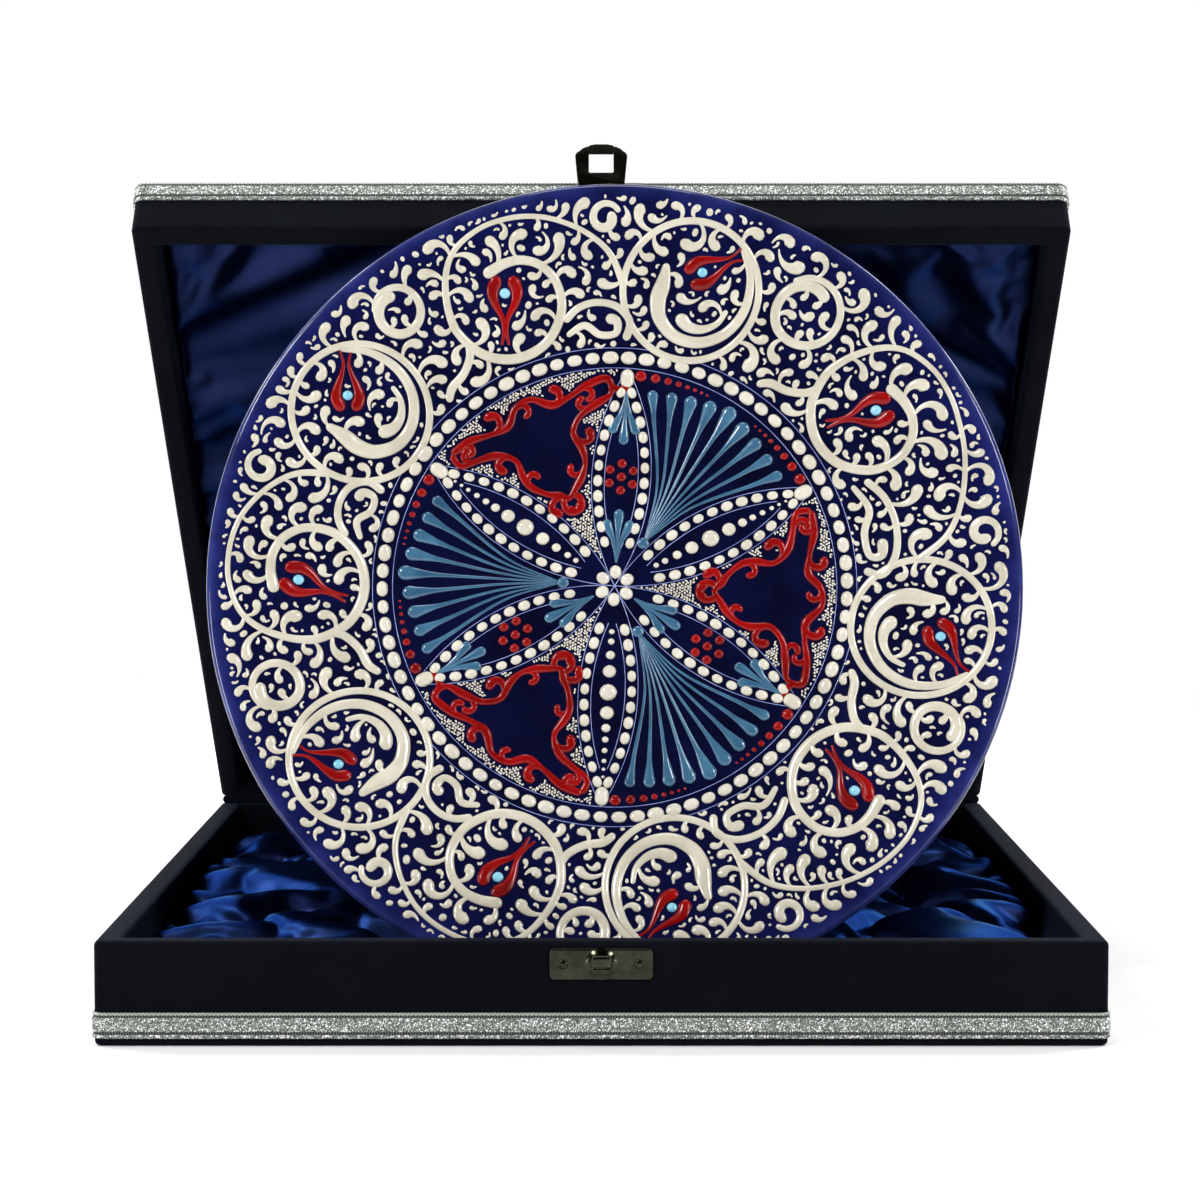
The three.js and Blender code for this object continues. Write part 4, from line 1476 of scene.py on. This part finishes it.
def hasp_plate():
    shape = stamped("hasp_plate", [rounded_outline(36, 8, 1.6)], METAL, 0.28)
    for from_x, to_x in ((-8, -5.3), (5.3, 8)):
        add_bar(shape, KNUCKLE, to_x - from_x, 0.3, ((from_x + to_x) / 2, 0, METAL / 2 + KNUCKLE))
    metal_object("hasp_plate", shape, LID @ on_front(HASP_Z), "lid", "hasp_mount")
    clasp_rivets("hasp", LID @ on_front(HASP_Z), "lid")
    pin = bmesh.new()
    add_bar(pin, PIN, 18, 0.3)
    add_bar(pin, 1.5, 0.8, 0.25, (-8.7, 0, 0))
    add_bar(pin, 1.5, 0.8, 0.25, (8.7, 0, 0))
    metal_object("hasp_axle", pin, LID @ HASP_AXIS, "lid", "hasp_pin")


def hasp():
    """The hasp's loop, in the XY plane with its pivot at 0, 0, hanging down, and then flipped up."""
    side = [(5, -1.2), (5, -4), (8.7, -7.5), (9.3, -14), (9.9, -21), (9.8, -21.8), (9.0, -22.8)]
    side += [(8.4, -23.1), (7.4, -24.1), (6.2, -24.8), (4.8, -25.2), (4.2, -25.7), (2.2, -26.1)]
    outline = [*side, *((-x, y) for x, y in reversed(side))]
    window = [(x, y - HASP_REACH - 1.0) for x, y in rounded_outline(9.3, 8.2, 0.5, 3)]
    shape = stamped("hasp_loop_shape", [outline, window], 1.4, 0.3)
    add_bar(shape, KNUCKLE, 10, 0.3)
    flip = Matrix.Rotation(-HASP_FLIP, 4, "X")
    metal_object("hasp", shape, LID @ HASP_AXIS @ flip @ FACE_FRONT, "hasp", "hasp_loop")


HINGE_HALF = 15
HINGE_X = 105
LEAF_RIVET = 10
LEAF_RIVET_Z = 8
LEAF_MIDDLE_Z = 7.65
MIDDLE_KNUCKLE = 4.9


def hinge_half(side, name, x):
    """One leaf of a hinge, with its knuckles, for the base (side -1) or the lid (side 1)."""
    body, spans = "lid", ((-MIDDLE_KNUCKLE, MIDDLE_KNUCKLE),)
    matrix = shift(x, CASE_Y + METAL / 2 + STANDS_OFF, HINGE.z / MM) @ FACE_BACK
    if side > 0:
        matrix = LID @ matrix
    else:
        body, spans = "base", ((-HINGE_HALF, -MIDDLE_KNUCKLE - 0.3), (MIDDLE_KNUCKLE + 0.3, HINGE_HALF))
    leaf = [(px, py + side * LEAF_MIDDLE_Z) for px, py in rounded_outline(2 * HINGE_HALF, 10.7, 1.4)]
    shape = stamped("leaf", [leaf], METAL, 0.25)
    axis_out = HINGE.y / MM - CASE_Y - METAL / 2 - STANDS_OFF
    for low, high in spans:
        add_bar(shape, KNUCKLE, high - low, 0.25, ((low + high) / 2, 0, axis_out))
        tab = [(low, 0), (high, 0), (high, side * 3.4), (low, side * 3.4)]
        corners = [(*point, height) for height in (-METAL / 2, METAL / 2) for point in tab]
        order = [(0, 1, 2, 3), (4, 5, 6, 7), (0, 1, 5, 4), (1, 2, 6, 5), (2, 3, 7, 6), (3, 0, 4, 7)]
        add_solid(shape, corners, order, HERE)
    bmesh.ops.recalc_face_normals(shape, faces=shape.faces)
    metal_object(f"{name}_{body}_half", shape, matrix, body, f"{name}_{body}_leaf")
    rivet(f"{name}_{body}_rivet_1", LEAF_RIVET, side * LEAF_RIVET_Z, matrix, body)
    rivet(f"{name}_{body}_rivet_2", -LEAF_RIVET, side * LEAF_RIVET_Z, matrix, body)


def hinge_axle(name, x):
    pin = bmesh.new()
    add_bar(pin, PIN, 2 * HINGE_HALF + 1, 0.3)
    add_bar(pin, KNUCKLE, 1.0, 0.35, (-HINGE_HALF - 0.8, 0, 0))
    add_bar(pin, KNUCKLE, 1.0, 0.35, (HINGE_HALF + 0.8, 0, 0))
    metal_object(f"{name}_axle", pin, shift(x, HINGE.y / MM, HINGE.z / MM), "base", f"{name}_pin")


def fittings():
    catch()
    hasp_plate()
    hasp()
    for name, x in (("hinge_left", -HINGE_X), ("hinge_right", HINGE_X)):
        hinge_half(-1, name, x)
        hinge_half(1, name, x)
        hinge_axle(name, x)


def hidden_boards():
    """The boards and the sheet under the base keep their CAD shapes."""
    parts = ("panel_board", "front_wall", "back_wall", "left_wall", "right_wall")
    names = {f"{half}_{part}": BOARD for half in ("base", "lid") for part in parts}
    for name, material in (names | {"base_underside_sheet": FLOCK}).items():
        materials = frame["nodes"][name].data.materials
        materials.clear()
        materials.append(material)


# ---- Stage ----

PALE = (0.88, 0.88, 0.88, 1)


def reflector():
    """A sweep that throws light back at the object. It's never in the picture, from any side."""
    front, curve, radius, top, half_width = -3.2, 1.1, 0.6, 3.4, 3.5  # in metres
    bent = arc_points(radius, -90, 0, 13)[1:] + (curve, radius)
    profile = [(front, 0), (curve, 0), *bent, (curve + radius, top)]
    vertices = [(x / MM, y / MM, z / MM - 1) for y, z in profile for x in (-half_width, half_width)]
    faces = [(2 * i, 2 * i + 1, 2 * i + 3, 2 * i + 2) for i in range(len(profile) - 1)]
    sweep = make_object("reflector", vertices, faces, [Shader("reflector", 0.7, Base_Color=PALE).material])
    sweep.visible_camera = False


def floor():
    """A pale floor that fades out into the white of the room."""
    size = 1100  # it ends before the reflector curves up
    shader = Shader("pale_floor", 0.7, Base_Color=PALE)
    distance = shader.add("VectorMath", Vector=shader.place)
    distance.operation = "LENGTH"
    fade_range = {"From_Min": 0.6 * size * MM, "From_Max": 0.95 * size * MM, "To_Min": 1, "To_Max": 0}
    fade = shader.add("MapRange", Value=distance.outputs["Value"], **fade_range)
    fade.interpolation_type = "SMOOTHSTEP"
    shader.links.new(fade.outputs["Result"], shader.surface.inputs["Alpha"])
    vertices = [(-size, -size, 0), (size, -size, 0), (size, size, 0), (-size, size, 0)]
    make_object("floor", vertices, [(0, 1, 2, 3)], [shader.material])


def white_room():
    """A dim room that only looks white itself, so that the dark glaze stays dark."""
    world = bpy.data.worlds.new("studio")
    world.use_nodes = True
    nodes, links = world.node_tree.nodes, world.node_tree.links
    path = nodes.new("ShaderNodeLightPath")
    strength = nodes.new("ShaderNodeMapRange")
    strength.inputs["To Min"].default_value = 0.05
    background = nodes["Background"]
    background.inputs["Color"].default_value = (1, 1, 1, 1)
    links.new(path.outputs["Is Camera Ray"], strength.inputs["Value"])
    links.new(strength.outputs["Result"], background.inputs["Strength"])
    bpy.context.scene.world = world


OBJECT = Vector((0, -0.1, 0.15))
BEHIND = Vector((0, 1.7, 0.7))

# Each light's name, place, aim, width and height in metres, and power in watts.
LIGHTS = (
    ("key", (-0.8, -1.1, 1.1), OBJECT, 0.3, 0.3, 14.5),
    ("fill", (0.95, -1.1, 0.95), OBJECT, 0.3, 0.3, 10),
    ("top", (0.0, -0.15, 1.6), OBJECT, 0.5, 0.5, 4),
    ("ceiling", (0.0, 0.0, 2.6), OBJECT, 3.5, 3.5, 9),
    ("strip_left", (-1.1, -0.75, 0.23), OBJECT, 0.15, 0.4, 5),
    ("strip_right", (1.1, -0.75, 0.23), OBJECT, 0.15, 0.4, 4.5),
    ("reflector_left", (-1.5, 0.7, 1.6), BEHIND, 1.0, 1.0, 40),
    ("reflector_right", (1.5, 0.7, 1.6), BEHIND, 1.0, 1.0, 40),
)


def lights():
    """Soft lights that are never in the picture."""
    for name, at, aim, width, height, power in LIGHTS:
        light = bpy.data.lights.new(name, "AREA")
        light.energy = power
        light.shape = "RECTANGLE"
        light.size = width
        light.size_y = height
        holder = bpy.data.objects.new(name, light)
        holder.visible_camera = False
        holder.location = at
        holder.rotation_euler = (aim - Vector(at)).to_track_quat("-Z", "Y").to_euler()
        bpy.context.scene.collection.objects.link(holder)


def camera():
    """A long lens in front of the case, a little above it, that looks slightly down."""
    distance, height, down = 1.04, 0.227, math.radians(3.9)
    lens = bpy.data.cameras.new("camera")
    lens.sensor_width = 36
    lens.lens = 90.6
    holder = bpy.data.objects.new("camera", lens)
    holder.location = (-0.00045, -CASE_Y * MM - distance, height)
    holder.rotation_euler = (math.radians(90) - down, 0, 0)
    bpy.context.scene.collection.objects.link(holder)
    bpy.context.scene.camera = holder


bpy.context.scene.view_settings.view_transform = "Standard"
camera()
reflector()
floor()
white_room()
lights()
make_plate()
decorate()
base_cover()
back_welt()
lid_cover()
braid("base_braid_band", BASE_FOOT + 2.7, BASE_FOOT + 11.9, HERE, "base", "base_braid")
braid("lid_braid_band", LID_TOP - 10.2, LID_TOP - 1.0, LID, "lid", "lid_braid")
padding("base", HERE, 4.8, BED - 3.0, 1)
padding("lid", LID, LID_TOP - 4.6, LID_BED + 3.4, -1)
satin_base()
satin_lid()
fittings()
hidden_boards()
